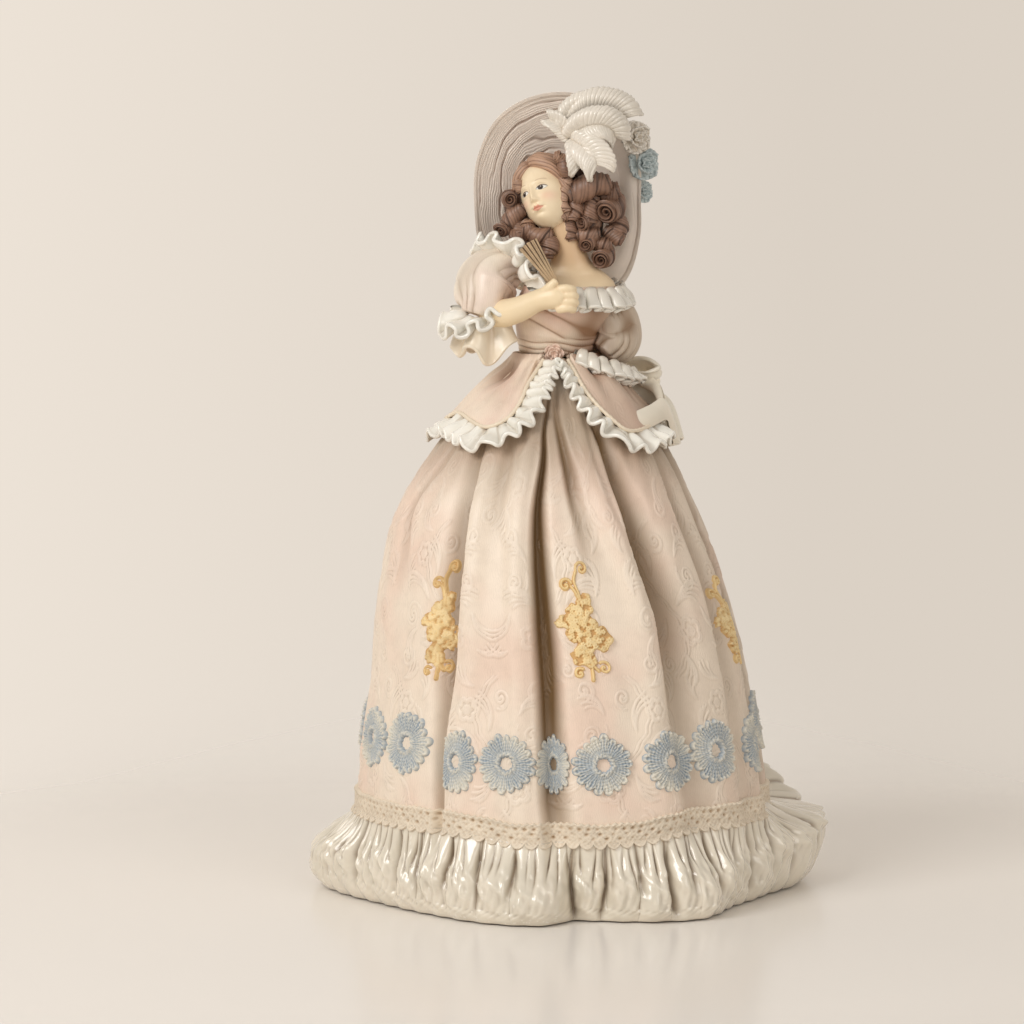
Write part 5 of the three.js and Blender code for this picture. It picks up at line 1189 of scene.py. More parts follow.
# Ruffles: name, node, root, spread, loops, wave, gather, flare, seed
FRILLS = [
    ("shoulder_frill", "shoulder_ruffle",
     [(-27, 5, 38.5), (-26.6, 1, 40.6), (-23, -5, 41.2), (-18.4, -11.5, 38.6), (-15.6, -16, 33),
      (-13, -18.4, 27.4)],
     [(-7, 3, 4), (-5.6, -0.4, 6), (-2.4, -4, 6.4), (2.4, -5.4, 6), (5, -6.2, 3.4), (5.4, -6.6, -0.6)],
     5, 2.3, 1.1, 0.8, 21),
    ("neckline_frill", "neckline_ruffle",
     [(-4, -18, 26.4), (5, -18, 27), (13.5, -16, 26.8), (20.6, -10.2, 26.8), (24.2, 0, 27.4), (22, 9.4, 29),
      (13.5, 14, 30.6), (2, 14.8, 32), (-10, 13.8, 33.6), (-19.6, 9.6, 36)],
     [(0, -7, -3.4), (0.4, -6.6, -5.4), (2.2, -6, -5.6), (4.2, -4, -5.8), (4.4, 0.4, -5.8), (3.4, 3.4, -5.4),
      (1.4, 4.6, -5.4), (0, 5, -5.4), (-1.6, 4.6, -5.4), (-3.4, 3, -5)],
     19, 2.2, 1.2, 1.8, 22),
    ("cuff_frill_right", "cuff_ruffle_right",
     [(-27, -8, 23.2), (-25.6, -12.4, 20), (-27.2, -15.6, 16.6), (-32, -15.6, 14.6), (-36.2, -13, 15.4),
      (-37.2, -9, 17.2), (-35, -5.4, 19.8)],
     [(3.2, -3.4, 0.6), (1.4, -6, -0.4), (-0.6, -7, -2.6), (-5, -6.8, -4), (-9, -4.4, -6), (-9.4, -0.6, -4.4),
      (-7, 2.4, -1)],
     5, 2.8, 1.2, 1.2, 23),
    ("flounce", "flounce_right",
     [(-22.6, -12, 18.4), (-26.4, -16, 16.4), (-32.6, -16.4, 15.6), (-37, -12.4, 15.8), (-36.6, -6.4, 15.6),
      (-31.4, -3.4, 15.6)],
     [(4.4, -1, -10.4), (0.6, -3, -16.6), (-2.6, -2.6, -12.6), (-3.4, 0, -13), (-3, 1.4, -12.6),
      (-0.6, 2, -11)],
     3, 2.3, 0.3, 0.4, 24),
    ("cuff_frill_left", "cuff_ruffle_left",
     [(6.8, -12.6, 3), (12, -14.4, 1.4), (17.6, -13.4, -1), (22.6, -10, -2.8), (26.4, -5.4, -4.6),
      (28.4, 0, -6)],
     [(-2, -2.6, -4.6), (0.6, -4, -5), (1.6, -4.2, -5), (2.4, -3.6, -5), (3.4, -2.4, -4.4), (4, 0, -3.8)],
     7, 2.4, 1.3, 1.0, 25),
]
FLOUNCE = pearl_paint("flounce_glaze", (241, 227, 203), (188, 156, 118), 0.3, 0.1, 0.5)
FAN = plain_paint("fan_paint", (200, 172, 136), (96, 68, 50), 0.42, 0.15, 0.2)
FAN_BASE, FAN_TIP = (-1.4, -25.4, 28.4), (-13.2, -23.6, 45.6)
FAN_STICKS = 13
# A stick's outline: six corners that are repeated at each of its three stations
STICK_CORNERS = ((-1, 0), (-0.6, 0.55), (0.6, 0.55), (1, 0), (1, -1), (-1, -1))
STICK_ENDS = np.array([[0, 1, 2, 5], [2, 3, 4, 5], [14, 13, 12, 17], [17, 16, 15, 14]])


def build_frills():
    for row in FRILLS:
        frill_piece(*row)


def build_fan():
    """Flat sticks fanned out a little, every third one set back."""
    base, tip = np.array(FAN_BASE) + AT_WAIST, np.array(FAN_TIP) + AT_WAIST
    along = unit(tip - base)
    out = unit(np.array([0, -1.0, 0]) + along * along[1])
    side = np.cross(along, out)
    length = np.linalg.norm(tip - base)
    points, faces, wash = [], [], []
    for k in range(FAN_STICKS):
        share = k / (FAN_STICKS - 1) * 2 - 1
        back = k % 3 == 2
        front = 1.3 - 0.9 * back - 0.5 * abs(share)
        stations = ((-4.0, 0.3, 0.9), (0, 0.3, 1.1), (length - 0.5 * abs(share), 0.36, 3.7))
        for reach, width, spread in stations:
            middle = base + along * reach + side * share * spread
            points += [middle + side * dx * width + out * (front + dy * 0.6) for dx, dy in STICK_CORNERS]
        start = len(points) - 18
        faces.append(grid_faces(3, 6, False, True, start))
        faces.append(start + STICK_ENDS)
        # Painted shade on the sticks that are set back; every other stick a little darker.
        wash.append([0.8 if back else 0.12 * (k % 2)] * 18)
    fan = make("fan_sticks", np.array(points), np.vstack(faces), FAN, smooth=False)
    mark(fan, "wash", np.concatenate(wash))
    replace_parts(fan, "fan")


def ribbon_sheet(name, line, half, fold, steps=70, across=40):
    """A ribbon's tail, folded along its length and rolled at its end."""
    t = np.linspace(0, 1, steps)
    spine = path(line, t) + AT_WAIST
    along = unit(np.gradient(spine, axis=0))
    away = unit(spine * [1, 1, 0])
    side = unit(np.cross(along, away))
    out = np.cross(side, along)
    s = np.linspace(-1, 1, across)
    width = half * (0.5 + 0.5 * t)
    wave = np.cos(1.5 * np.pi * s[None, :] + 0.6 * np.sin(5 * t)[:, None])
    wave = fold * wave * (0.5 + 0.5 * t)[:, None]
    slant = -4.5 * (0.5 + 0.5 * s[None, :]) ** 2 * t[:, None] ** 3
    sheet = (spine[:, None] + side[:, None] * (width[:, None] * s[None, :])[..., None]
             + along[:, None] * slant[..., None] + out[:, None] * wave[..., None])
    # Painted shade near the knot.
    wash = 0.3 * fade(t, 0, 0.2)[:, None] + 0 * wave
    return rounded_sheet(name, np.swapaxes(sheet, 0, 1), RIBBON, "ribbon", wash.T, 0.6, 0.8)


# Upper and lower edge of the side tail's folded lobe
BOW_FOLD_TOP = [
    (27.2, -24.6, -21.8), (34.8, -16, -19), (40.6, -5.5, -17), (44.4, -3, -23.4), (47.6, -2, -34.5),
]
BOW_FOLD_FOOT = [
    (29.2, -28.5, -29.2), (36.4, -20, -26.6), (41.4, -12, -24.9), (42.8, -10, -27.6), (44.4, -8, -34),
]


# The bow's tails: line, half width, depth of its folds
TAIL_SIDE = ([(26.6, 14.4, -10), (34, 9.6, -13.8), (41.8, 2.4, -19.8), (46.4, 0.6, -35)], 8, 3)
TAIL_BACK = ([(20, 25, -10.6), (19, 33.6, -17.6), (21, 42.4, -27), (22, 50, -38)], 6.0, 2.2)
# Its loops: where they leave the knot, how far they reach, which way is up, half width
BOW_LOOPS = [
    ((25, 12, -5), (39.4, 9, -8.6), unit(np.array([0.1, -0.75, 0.65])), 5.2),
    ((20, 18, -5), (14, 33, -8), np.array([0, 0, 1.0]), 6.2),
]
BOW_KNOT = [(23.4, 14.6, -1.6, 3.4), (23.4, 14.6, -5.4, 4.2), (23.4, 14.6, -9.4, 3.4)]


def bow_fold():
    """The side tail's lobe, which turns back over the overskirt."""
    t, s = np.linspace(0, 1, 90), np.linspace(0, 1, 24)[:, None, None]
    sheet = path(BOW_FOLD_TOP, t) * (1 - s) + path(BOW_FOLD_FOOT, t) * s
    sheet = sheet + unit(sheet * [1, 1, 0]) * np.sin(np.pi * s) * 0.9 + AT_WAIST
    # Painted shade, darker towards the lobe's lower edge.
    rounded_sheet("bow_tail_fold", sheet, RIBBON, "ribbon", 0.25 * s[..., 0] + 0 * t, 0.6, 0.8)


def bow_loop(name, root, tip, up, half):
    """One loop: a band that leaves the knot, widens and comes back to it."""
    root, tip = np.array(root, float), np.array(tip, float)
    along = unit(tip - root)
    out = unit(np.cross(along, up))
    turned, v = grid_of(np.linspace(0, 2 * np.pi, 72), np.linspace(-1, 1, 24))
    away = 0.5 - 0.5 * np.cos(turned)
    reach = np.linalg.norm(tip - root) * away + 0.8 * np.sin(6 * v) * np.sin(turned / 2)
    swell = 4.2 * (1 - 0.2 * v**2) * np.sin(turned)
    rise = half * v * (0.4 + 0.6 * away) + 0.6 * np.sin(3 * turned) * v
    sheet = root + along * reach[..., None] + out * swell[..., None] + up * rise[..., None] + AT_WAIST
    # Painted shade where the loop leaves the knot.
    return rounded_sheet(name, sheet, RIBBON, "ribbon", 0.4 * fade(away, 0, 0.35), 0.6, 0.9)


def build_bow():
    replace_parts(ribbon_sheet("bow_tail_side", *TAIL_SIDE), "bow_tails")
    ribbon_sheet("bow_tail_back", *TAIL_BACK)
    bow_fold()
    loops = [bow_loop(f"bow_loop_{k}", *row) for k, row in enumerate(BOW_LOOPS)]
    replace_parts(loops[0], "bow_loops")
    limb("bow_knot", BOW_KNOT, RIBBON, "ribbon", 48, 30, lambda t, a: 0.35 * np.sin(9 * a))


# Head and hair
HEAD_CENTRE = np.array([-5.6, -2.8, 63.2 + WAIST])
HEAD_HALF = np.array([9.0, 10.6, 13.0])
HEAD_SIZE = 1.06
# Half width of the head at each height from the chin up
HEAD_WIDTHS = [(-13, 0.3), (-12.3, 3.0), (-11, 4.9), (-9, 6.5), (-6.4, 7.9), (-3, 8.8), (0, 9.1), (4, 8.9),
               (8, 7.7), (11, 5.2), (12.6, 2.0), (13, 0.2)]
EYE_SPAN, EYE_HEIGHT = 3.6, 0.2
MOUTH_HEIGHT = -6.7


def rotation(axis, degrees):
    c, s = math.cos(math.radians(degrees)), math.sin(math.radians(degrees))
    rows = {"x": [[1, 0, 0], [0, c, -s], [0, s, c]], "y": [[c, 0, s], [0, 1, 0], [-s, 0, c]],
            "z": [[c, -s, 0], [s, c, 0], [0, 0, 1]]}
    return np.array(rows[axis])


HEAD_TURN = rotation("z", -31) @ rotation("x", -13) @ rotation("y", -24)


def posed(points):
    return HEAD_SIZE * points @ HEAD_TURN.T + HEAD_CENTRE


def head_grid():
    """Rings of the head, closer together over the features."""
    across = np.linspace(-1, 1, 420, endpoint=False)
    across = np.pi * (0.55 * across + 0.45 * across**3)
    z = np.linspace(-1, 1, 340)
    z = HEAD_HALF[2] * np.sin(np.pi / 2 * (0.75 * z + 0.25 * z**3))
    across, z = grid_of(across, z)
    wide = through(HEAD_WIDTHS, z)
    deep = HEAD_HALF[1] * np.sqrt(clamp(1 - (z / HEAD_HALF[2]) ** 2)) ** 0.82
    square = 1 + 0.05 * np.cos(2 * across) ** 2 * (1 - np.abs(z) / 13)
    return wide * np.sin(across) * square, -deep * np.cos(across) * square, z


def face_relief(x, y, z):
    front = clamp(-y / HEAD_HALF[1]) ** 0.6

    def bump(cx, cz, wide, tall):
        return front * np.exp(-(((x - cx) / wide) ** 2) - (((z - cz) / tall) ** 2))

    def pair(cx, cz, wide, tall):
        return bump(cx, cz, wide, tall) + bump(-cx, cz, wide, tall)

    nose = 0.9 * bump(0, -0.2, 0.9, 2.4) + 1.25 * bump(0, -2.6, 1.1, 1.6) + 0.9 * bump(0, -3.7, 1.15, 0.85)
    nose = nose + 0.55 * pair(1.2, -3.9, 0.62, 0.6) - 0.25 * pair(0.7, -4.7, 0.4, 0.3)
    eyes = -1.15 * pair(EYE_SPAN, 0.2, 2.2, 1.6) + 1.0 * pair(EYE_SPAN, EYE_HEIGHT, 1.5, 1.0)
    brows = 0.5 * pair(3.6, 3.0, 2.6, 0.9)
    lips = 0.62 * bump(0, MOUTH_HEIGHT + 0.62, 1.9, 0.5) + 0.8 * bump(0, MOUTH_HEIGHT - 0.72, 1.5, 0.62)
    lips = lips - 0.5 * bump(0, MOUTH_HEIGHT, 2.0, 0.2) - 0.3 * bump(0, -5.2, 0.45, 0.6)
    lips = lips - 0.35 * pair(2.5, MOUTH_HEIGHT, 0.5, 0.5) - 0.5 * bump(0, -8.5, 1.9, 0.6)
    jaw = 0.95 * bump(0, -10.4, 2.2, 1.6) + 0.55 * pair(5.0, -3.4, 2.4, 2.2) + 0.5 * bump(0, -6.6, 3.4, 2.4)
    return nose + eyes + brows + lips + jaw


def face_marks(x, y, z):
    """What is painted on the face: eyes, lashes, brows, lips and a blush."""
    front = y < 0
    out = (np.abs(x) - EYE_SPAN) / 1.95
    arch = clamp(1 - out**2)
    upper = EYE_HEIGHT + 1.05 * arch**0.75 + 0.16 * out
    lower = EYE_HEIGHT - 0.72 * arch + 0.16 * out
    eye = step(z, lower - 0.1, lower + 0.1) * fade(z, upper - 0.1, upper + 0.1) * (np.abs(out) < 1) * front
    gaze = np.hypot(np.abs(x + 0.35) - EYE_SPAN, z - EYE_HEIGHT - 0.2)
    iris = eye * fade(gaze, 0.9, 1.08)
    glint = fade(np.hypot(np.abs(x + 0.1) - EYE_SPAN, z - EYE_HEIGHT - 0.55), 0.12, 0.24) * eye
    ends = fade(np.abs(out), 0.85, 1.12)
    lash = bell(z - upper, 0.24) * ends * front
    lash = lash + 0.4 * bell(z - lower, 0.12) * ends * front
    lid = 0.35 * bell(z - upper - 0.75, 0.14) * fade(np.abs(out), 0.7, 1.1) * front
    brow_line = 2.9 + 0.75 * np.clip(1 - ((np.abs(x) - 3.9) / 2.6) ** 2, -1, 1)
    brow = bell(z - brow_line, 0.2) * fade(np.abs(np.abs(x) - 3.9), 1.5, 2.3) * front
    s = clamp(np.abs(x) / 2.25)
    bow = 0.72 + 0.22 * np.cos(2 * np.pi * clamp(s * 1.5) + np.pi)
    top = MOUTH_HEIGHT + bow * (1 - s**2.2)
    bottom = MOUTH_HEIGHT - 1.15 * (1 - s**1.8)
    lips = step(z, bottom - 0.12, bottom + 0.12) * fade(z, top - 0.12, top + 0.12)
    lips = lips * (np.abs(x) < 2.25) * front
    seam = bell(z - MOUTH_HEIGHT - 0.1 * s, 0.1) * (np.abs(x) < 2.3) * front
    cheek = sum(np.exp(-(((x - side * 5.0) / 2.2) ** 2) - ((z + 3.4) / 1.8) ** 2) for side in (-1, 1))
    return {"blush": clamp(cheek * front), "lips": lips, "seam": seam, "eye": eye, "iris": iris,
            "glint": glint, "lash": clamp(lash), "brow": clamp(0.6 * brow + lid)}


# What is painted on the face, in order: mark, strength, colour
FACE_COLOURS = [
    ("blush", 0.5, (236, 184, 158)), ("lips", 0.8, (224, 148, 126)), ("seam", 0.6, (186, 104, 86)),
    ("eye", 1.0, (240, 236, 226)), ("iris", 1.0, (46, 32, 24)), ("glint", 0.9, (250, 248, 244)),
    ("lash", 0.9, (70, 48, 38)), ("brow", 0.8, (160, 122, 96)),
]


def face_paint():
    paint = Paint("face_paint", 0.32)
    tone = paint.mix(paint.span(paint.noise(120, 3), 0.3, 0.7), srgb(243, 223, 190), srgb(239, 217, 182))
    for key, share, shade in FACE_COLOURS:
        tone = paint.mix(paint.math("MULTIPLY", paint.mark(key), share), tone, srgb(*shade))
    paint.colour(tone).bump((paint.noise(900, 2), 0.04, 0.1))
    return paint.material


def build_head():
    x, y, z = head_grid()
    marks = face_marks(x, y, z)
    points = posed(np.stack([x, y - face_relief(x, y, z), z], -1))
    head = surface("head_skin", points, face_paint(), "skin", wrap_u=True, **marks)
    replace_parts(head, "head")


# Two tones of the hair paint: the darker, for the big ringlets and the cores, is partly painted shade; the
# lighter, for the cap, locks and small curls, partly painted light.
HAIR_SHADED = plain_paint("hair_paint", (156, 119, 97), (60, 38, 28), 0.42, 0.35, 0.18, 0.9)
HAIR_LIT = plain_paint("hair_front_paint", (190, 152, 126), (96, 66, 50), 0.42, 0.35, 0.14, 0.9)
# Ringlets: both ends of the roll and its radius
CURLS_RIGHT = [
    ((5.1, -8, 64.2), (17.3, -6, 68), 4.7), ((20.6, 0, 61.6), (18, -8.6, 57.9), 4.7),
    ((12.8, -7, 61.7), (12, -8.4, 54.5), 3.1), ((13.3, -5, 52.8), (9.2, -9, 52.9), 3.4),
    ((5.1, -7.5, 60.9), (4.5, -8.6, 55.2), 2.9), ((3.1, -6.5, 52.8), (4.2, -8, 47.1), 2.9),
    ((7.6, -7, 48), (14.1, -6.4, 48.8), 2.8), ((11.3, -3, 46.3), (10, -9, 44.4), 2.9),
    ((17.4, -2, 42.2), (15.9, -8.2, 39), 3.8), ((18.6, -4, 49.1), (23.4, -5, 46.3), 3),
    ((1.1, -9, 77.1), (3.3, -8.6, 72.2), 2.6), ((2.7, -9, 69.8), (2, -9.2, 65.8), 2.1),
    ((16.1, -3, 64.1), (21.4, -3, 65.7), 4), ((22.3, -1, 54.3), (22.2, -3, 48.7), 3.8),
    ((-1, -8, 79.4), (2, -7, 78.5), 2.4), ((6.8, -5, 57.2), (9.6, -5, 60.1), 2.8),
    ((3.9, -6.6, 64.1), (6.1, -7, 61.7), 2.2), ((1.6, -9.6, 66.4), (1.2, -10.6, 62.4), 1.9),
    ((1.4, -9.4, 61.6), (2.4, -10.6, 58.2), 1.9), ((3.2, -8.6, 57.6), (1.2, -10, 55), 1.7),
    ((14.1, -4, 44.3), (19, -4, 44.3), 3),
]
CURLS_LEFT = [
    ((-18.3, 0, 63.2), (-19.5, -7.4, 62.4), 3), ((-15.1, -6, 58.1), (-20.7, -6, 52.8), 3.3),
    ((-21.5, -2, 52.7), (-23.8, -7, 50.3), 3), ((-11.8, -7.6, 50.5), (-18.3, -7, 47), 3.1),
    ((-18.3, -3, 56), (-15.9, -5, 48.8), 3.2), ((-11, -8, 48.9), (-4.6, -9, 47.9), 3.3),
    ((-5.2, -8.6, 47.3), (-5.1, -9.4, 40.8), 3.2), ((-15.9, -5.4, 65.7), (-17.1, -5, 68.9), 1.9),
    ((-7.8, -6, 44.8), (-7, -7.4, 40), 2.6), ((-14.1, -7.2, 52.9), (-11.8, -8, 48.9), 2.3),
]
CORE_RIGHT = [(7, -1, 76, 4.6), (13, -0.6, 64, 4.6), (12, -0.4, 52, 4.6), (13, -0.4, 43, 3.7)]
CORE_LEFT = [(-16.5, -0.6, 66, 4.6), (-17, -1, 56, 4.6), (-12, -3, 47.5, 4.6), (-5.5, -5, 43.5, 3.7)]


def ringlet(name, start, end, radius, seed):
    """A bent roll of hair, wound like a ribbon, with a hollow spiral in each end."""
    chance = np.random.default_rng(seed)
    a, b = np.array(start, float) + AT_WAIST, np.array(end, float) + AT_WAIST
    along = unit(b - a)
    length = np.linalg.norm(b - a) + radius * 0.7
    a = a - along * radius * 0.35
    side = unit(np.cross(along, [0.3, 0.2, 1.0]))
    other = np.cross(along, side)
    turned = circle(110)[None, :]
    cap, body = np.linspace(0, 1, 34)[:, None], np.linspace(0, 1, 50)[:, None]
    rim = 0.22 * radius
    # Each end is a hollow: rings step in along the axis towards the middle
    inward = rim * (1 - np.sqrt(clamp(1 - cap**7))) + 0.5 * radius * (1 - cap) ** 1.5
    r = np.concatenate([cap, 1 + 0 * body, cap[::-1]])
    s = np.concatenate([inward, rim + (length - 2 * rim) * body, length - inward[::-1]])
    face = np.concatenate([1 + 0 * cap, 0 * body, 1 + 0 * cap])
    first = chance.uniform(0, 6.28)
    coil = (r * 2.6 + (turned + first) / (2 * np.pi)) % 1
    rise = np.where(coil < 0.8, coil / 0.8, (1 - coil) / 0.2)
    rise = rise * face * step(r, 0.04, 0.16) * fade(r, 0.92, 1.0)
    pitch = chance.uniform(0.9, 1.5)
    winding = (s / (3.2 * radius) * pitch + turned / (2 * np.pi) + first) % 1
    ledge = np.where(winding < 0.9, winding / 0.9, (1 - winding) / 0.1) * (1 - face)
    groove = bell(winding - 0.96, 0.05) * (1 - face)
    strands = np.abs(np.sin(np.pi * winding * 6 + 0.6 * np.sin(3 * turned + s))) ** 0.7 * (1 - face)
    swell = chance.uniform(0.0, 0.14)
    belly = 1 + swell * np.sin(np.pi * s / length) + 0.05 * np.sin(2 * turned + first + 0.3 * s)
    reach = radius * r * (belly + 0.2 * ledge - 0.08 + 0.05 * (strands - 0.5))
    slide = 0.42 * radius * (rise - 0.3) * face * step(r, 0.04, 0.16) * np.where(s < length / 2, -1, 1)
    bow = chance.uniform(-0.16, 0.16, 2) * length
    bend = np.sin(np.pi * clamp(s / length))[..., None] * (bow[0] * side + bow[1] * other)
    points = (a + along * (s + slide)[..., None] + bend
              + reach[..., None] * (np.cos(turned)[..., None] * side + np.sin(turned)[..., None] * other))
    # Painted shade in the hollow ends, in the grooves of the winding and between the strands.
    dark = face * (0.85 * (1 - rise) * step(r, 0.0, 0.1) * fade(r, 0.9, 1.0) + 0.6 * fade(r, 0.06, 0.2))
    wash = 0.7 * groove + dark + 0.26 * (1 - strands) * (1 - face) + 0.2 * (1 - ledge) * (1 - face)
    paint = HAIR_LIT if radius < 2.5 else HAIR_SHADED
    return surface(name, points, paint, "hair", wrap_v=True, wash=np.clip(wash, 0, 0.9))


def lock(name, line, radius, seed, strands=9):
    """A tapering lock of hair laid along a line."""
    chance = np.random.default_rng(seed)
    shift = chance.uniform(0, 6.28)
    widths = np.sin(np.linspace(0.45, 2.75, len(line))) ** 0.7
    stations = [(*p, radius * w) for p, w in zip(line, widths)]

    def ridges(t, a):
        return np.abs(np.sin(strands * (a / 2 + shift) + 5 * t + 0.6 * np.sin(9 * t)))

    def swell(t, a):
        return radius * 0.13 * (ridges(t, a) ** 0.6 - 0.6)

    t, a = np.linspace(0, 1, 70)[:, None], circle(84)[None, :]
    # Painted shade between the strands.
    return limb(name, stations, HAIR_LIT, "hair", 84, 70, swell, wash=0.6 * (1 - ridges(t, a) ** 0.5))


def head_arc(points):
    """Points on the head: across in degrees, up in degrees and lift, in the head's pose."""
    out = []
    for across, up, lift in points:
        a, u = math.radians(across), math.radians(up)
        half = HEAD_HALF + lift
        local = [half[0] * math.cos(u) * math.sin(a), 1.2 - half[1] * math.cos(u) * math.cos(a),
                 half[2] * math.sin(u)]
        x, y, z = posed(np.array([local]))[0]
        out.append((x, y, z - WAIST))
    return out


LOCKS = [
    [(-8, 62, 1.0), (12, 56, 1.8), (34, 46, 2.2), (54, 30, 2.0), (70, 10, 1.6)],
    [(-14, 70, 1.4), (14, 68, 2.2), (44, 56, 2.6), (70, 36, 2.2), (86, 14, 1.6)],
    [(-10, 60, 0.8), (-32, 52, 1.6), (-52, 38, 1.8), (-68, 18, 1.6), (-76, -4, 1.2)],
    [(-18, 70, 1.4), (-48, 60, 2.0), (-74, 42, 2.0), (-88, 18, 1.6)],
    [(30, 76, 1.8), (70, 66, 2.2), (96, 44, 2.2), (110, 18, 1.6)],
    [(-40, 80, 1.6), (-96, 66, 2.0), (-112, 40, 2.0), (-116, 12, 1.6)],
    [(-20, 64, 1.2), (0, 62, 2.4), (22, 56, 2.8), (40, 44, 3.0), (50, 30, 2.4)],
    [(-72, 8, 1.0), (-76, -8, 1.4), (-74, -24, 1.2), (-66, -38, 0.8)],
    [(66, 14, 1.2), (72, 0, 1.6), (72, -10, 1.2)],
]


def build_hair():
    around, up = grid_of(circle(300), np.linspace(-1.5, 1.5, 150))
    strands = np.abs(np.sin(26 * around + 3 * np.sin(3 * up) + 0.8 * np.sin(7 * up))) ** 0.6
    ball = np.stack([np.cos(up) * np.cos(around), np.cos(up) * np.sin(around), np.sin(up)], -1)
    points = ball * (HEAD_HALF + [1.8, 1.0, 0.0] + 0.4 * (strands - 1)[..., None]) + [0, 3.6, 2.4]
    # Painted shade between the strands.
    cap = surface("hair_cap", posed(points), HAIR_LIT, "hair", wrap_u=True, wash=0.45 * (1 - strands))
    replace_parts(cap, "hair_crown")
    for k, line in enumerate(LOCKS):
        lock(f"hair_lock_{k}", head_arc(line), 2.5 if k < 6 else 1.9, 30 + k)
    build_curls("right", CURLS_RIGHT, CORE_RIGHT, "curls_right", 50)
    build_curls("left", CURLS_LEFT, CORE_LEFT, "curls_left", 70)


def build_curls(side, curls, core, node, seed):
    """Ringlets round a core that closes the gaps between them, painted dark all over as shade."""
    dark = 0.8 * np.ones((50, 60))
    backing = limb(f"curl_core_{side}", core, HAIR_SHADED, "hair", 60, 50, core_waves, wash=dark)
    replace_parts(backing, node)
    for k, (start, end, radius) in enumerate(curls):
        ringlet(f"curl_{side}_{k}", start, end, radius, seed + k)


def core_waves(t, a):
    return 0.5 * np.sin(7 * a + 5 * t)


# Hat: the brim's outline by angle and reach, and the crown and band by radius and depth behind it
BRIM_CENTRE = np.array([-1.0, 15.0, 65.0])
BRIM_OUTLINE = [
    (-57, 46), (-30, 38), (-5, 33.4), (25, 35.5), (50, 39), (75, 39.8), (97, 39.5), (127, 38.2),
    (155, 35), (189, 33.7), (221, 39), (245, 42), (270, 43), (288, 45),
]
BRIM_INNER, BRIM_THICKNESS = 11, 2.2
CROWN_ROWS = [(0, 18.0), (16, 18.0), (15.6, 24), (14.4, 29.5), (11.6, 33.4), (6.5, 34.7), (0.2, 35)]
BAND_ROWS = [(16.9, 18.0), (17.5, 19.0), (17.5, 22), (16.9, 22.8), (16.2, 22.8), (16.2, 18.0)]
STRAW = plain_paint("straw_paint", (246, 234, 221), (170, 148, 134), 0.4, 0.15, 0.04, 0.5)
PLUME = pearl_paint("plume_glaze", (228, 219, 206), (138, 118, 94), 0.28, 0.08)
BLUE = plain_paint("flower_blue", (198, 208, 208), (122, 136, 138), 0.45)


def straw_grooves(angle, share):
    """Plaits of straw that wander round the brim: deep grooves and fine strands between."""
    turned = np.radians(angle)
    wander = 0.035 * np.sin(3 * turned + 7 * share + 1) + 0.016 * np.sin(8 * turned + 16 * share)
    wander = wander + 0.005 * np.sin(23 * turned + 9 * share)
    lane = (share + wander) * 6.3
    strength = 0.55 + 0.6 * np.sin(2.3 * np.floor(lane) + 2.4 * turned)
    deep = bell((lane % 1) - 0.5, 0.11) * clamp(strength)
    deep = deep * step(share, 0.12, 0.2) * fade(share, 0.88, 0.92)
    strand = (share + 0.8 * wander) * 30
    fine = np.abs(np.sin(np.pi * strand + 1.2 * np.sin(6 * turned + 3 * share))) ** 0.7
    patches = clamp(0.5 + 0.7 * np.sin(5 * turned + 11 * share) * np.sin(3 * turned - 17 * share))
    return deep, fine * (0.3 + 0.7 * patches)


def build_hat():
    angle, share = grid_of(np.linspace(0, 360, 560, endpoint=False), np.linspace(0, 1, 260))
    radius = BRIM_INNER + (through(BRIM_OUTLINE, angle, 360) - BRIM_INNER) * share
    c, s = np.cos(np.radians(angle)), np.sin(np.radians(angle))
    dish = np.where(s > 0, 8 + 3 * s * s, 8 - 9 * s * s)
    woven = step(-c, -0.35, 0.15)
    deep, fine = straw_grooves(angle, share)
    lip = 0.7 * step(share, 0.93, 0.96)
    smooth_band = 1.4 * np.sin(np.pi * clamp((share - 0.62) / 0.32)) * (1 - woven)
    straw = -0.8 * deep + 0.22 * fine * fade(share, 0.9, 0.94)
    relief = straw * (0.08 + 0.92 * woven) + lip + smooth_band
    sink = BRIM_CENTRE[1] - dish * share**1.6

    def face(lift):
        return np.stack([BRIM_CENTRE[0] + radius * c, sink + lift, BRIM_CENTRE[2] + radius * s + WAIST], -1)

    points = np.concatenate([face(-relief), face(BRIM_THICKNESS + 0.5 * relief)[:, ::-1]], 1)
    shade = 0.16 * fade(share, 0.45, 0.7) * (1 - woven)
    # Wash and painted shade in the plaits' grooves, with the painted shade of the inner band.
    wash = clamp(0.75 * deep + 0.16 * (1 - fine) * (share < 0.9)) * (0.08 + 0.92 * woven) + shade
    wash = np.concatenate([wash, 0.5 * wash[:, ::-1]], 1)
    brim = surface("brim", points, STRAW, "straw", wrap_u=True, wrap_v=True, wash=wash)
    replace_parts(brim, "hat_brim")
    turned_piece("crown_straw", "hat_crown", CROWN_ROWS, STRAW, "straw", 0.5)
    turned_piece("crown_band", "hat_ribbon", BAND_ROWS, RIBBON, "ribbon", 0.15)


def turned_piece(name, node, rows, paint, slot, depth):
    """A piece turned about the hat's axis, ribbed round and round."""
    line = path(rows, np.linspace(0, 1, 80))
    turned = circle(160)
    ripple = depth * (np.abs(np.sin(line[:, 1] * 2.4)) ** 0.5 - 1)
    radius = np.clip(line[:, 0] + ripple * (line[:, 0] > 1), 0.05, None)[:, None]
    points = np.stack([BRIM_CENTRE[0] + radius * np.cos(turned), line[:, 1][:, None] + 0 * turned,
                       BRIM_CENTRE[2] + WAIST + radius * np.sin(turned)], -1)
    # Painted shade in the grooves of the ribs.
    wash = (-0.4 * ripple / depth)[:, None] + 0 * turned
    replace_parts(surface(name, points, paint, slot, wrap_v=True, wash=wash), node)


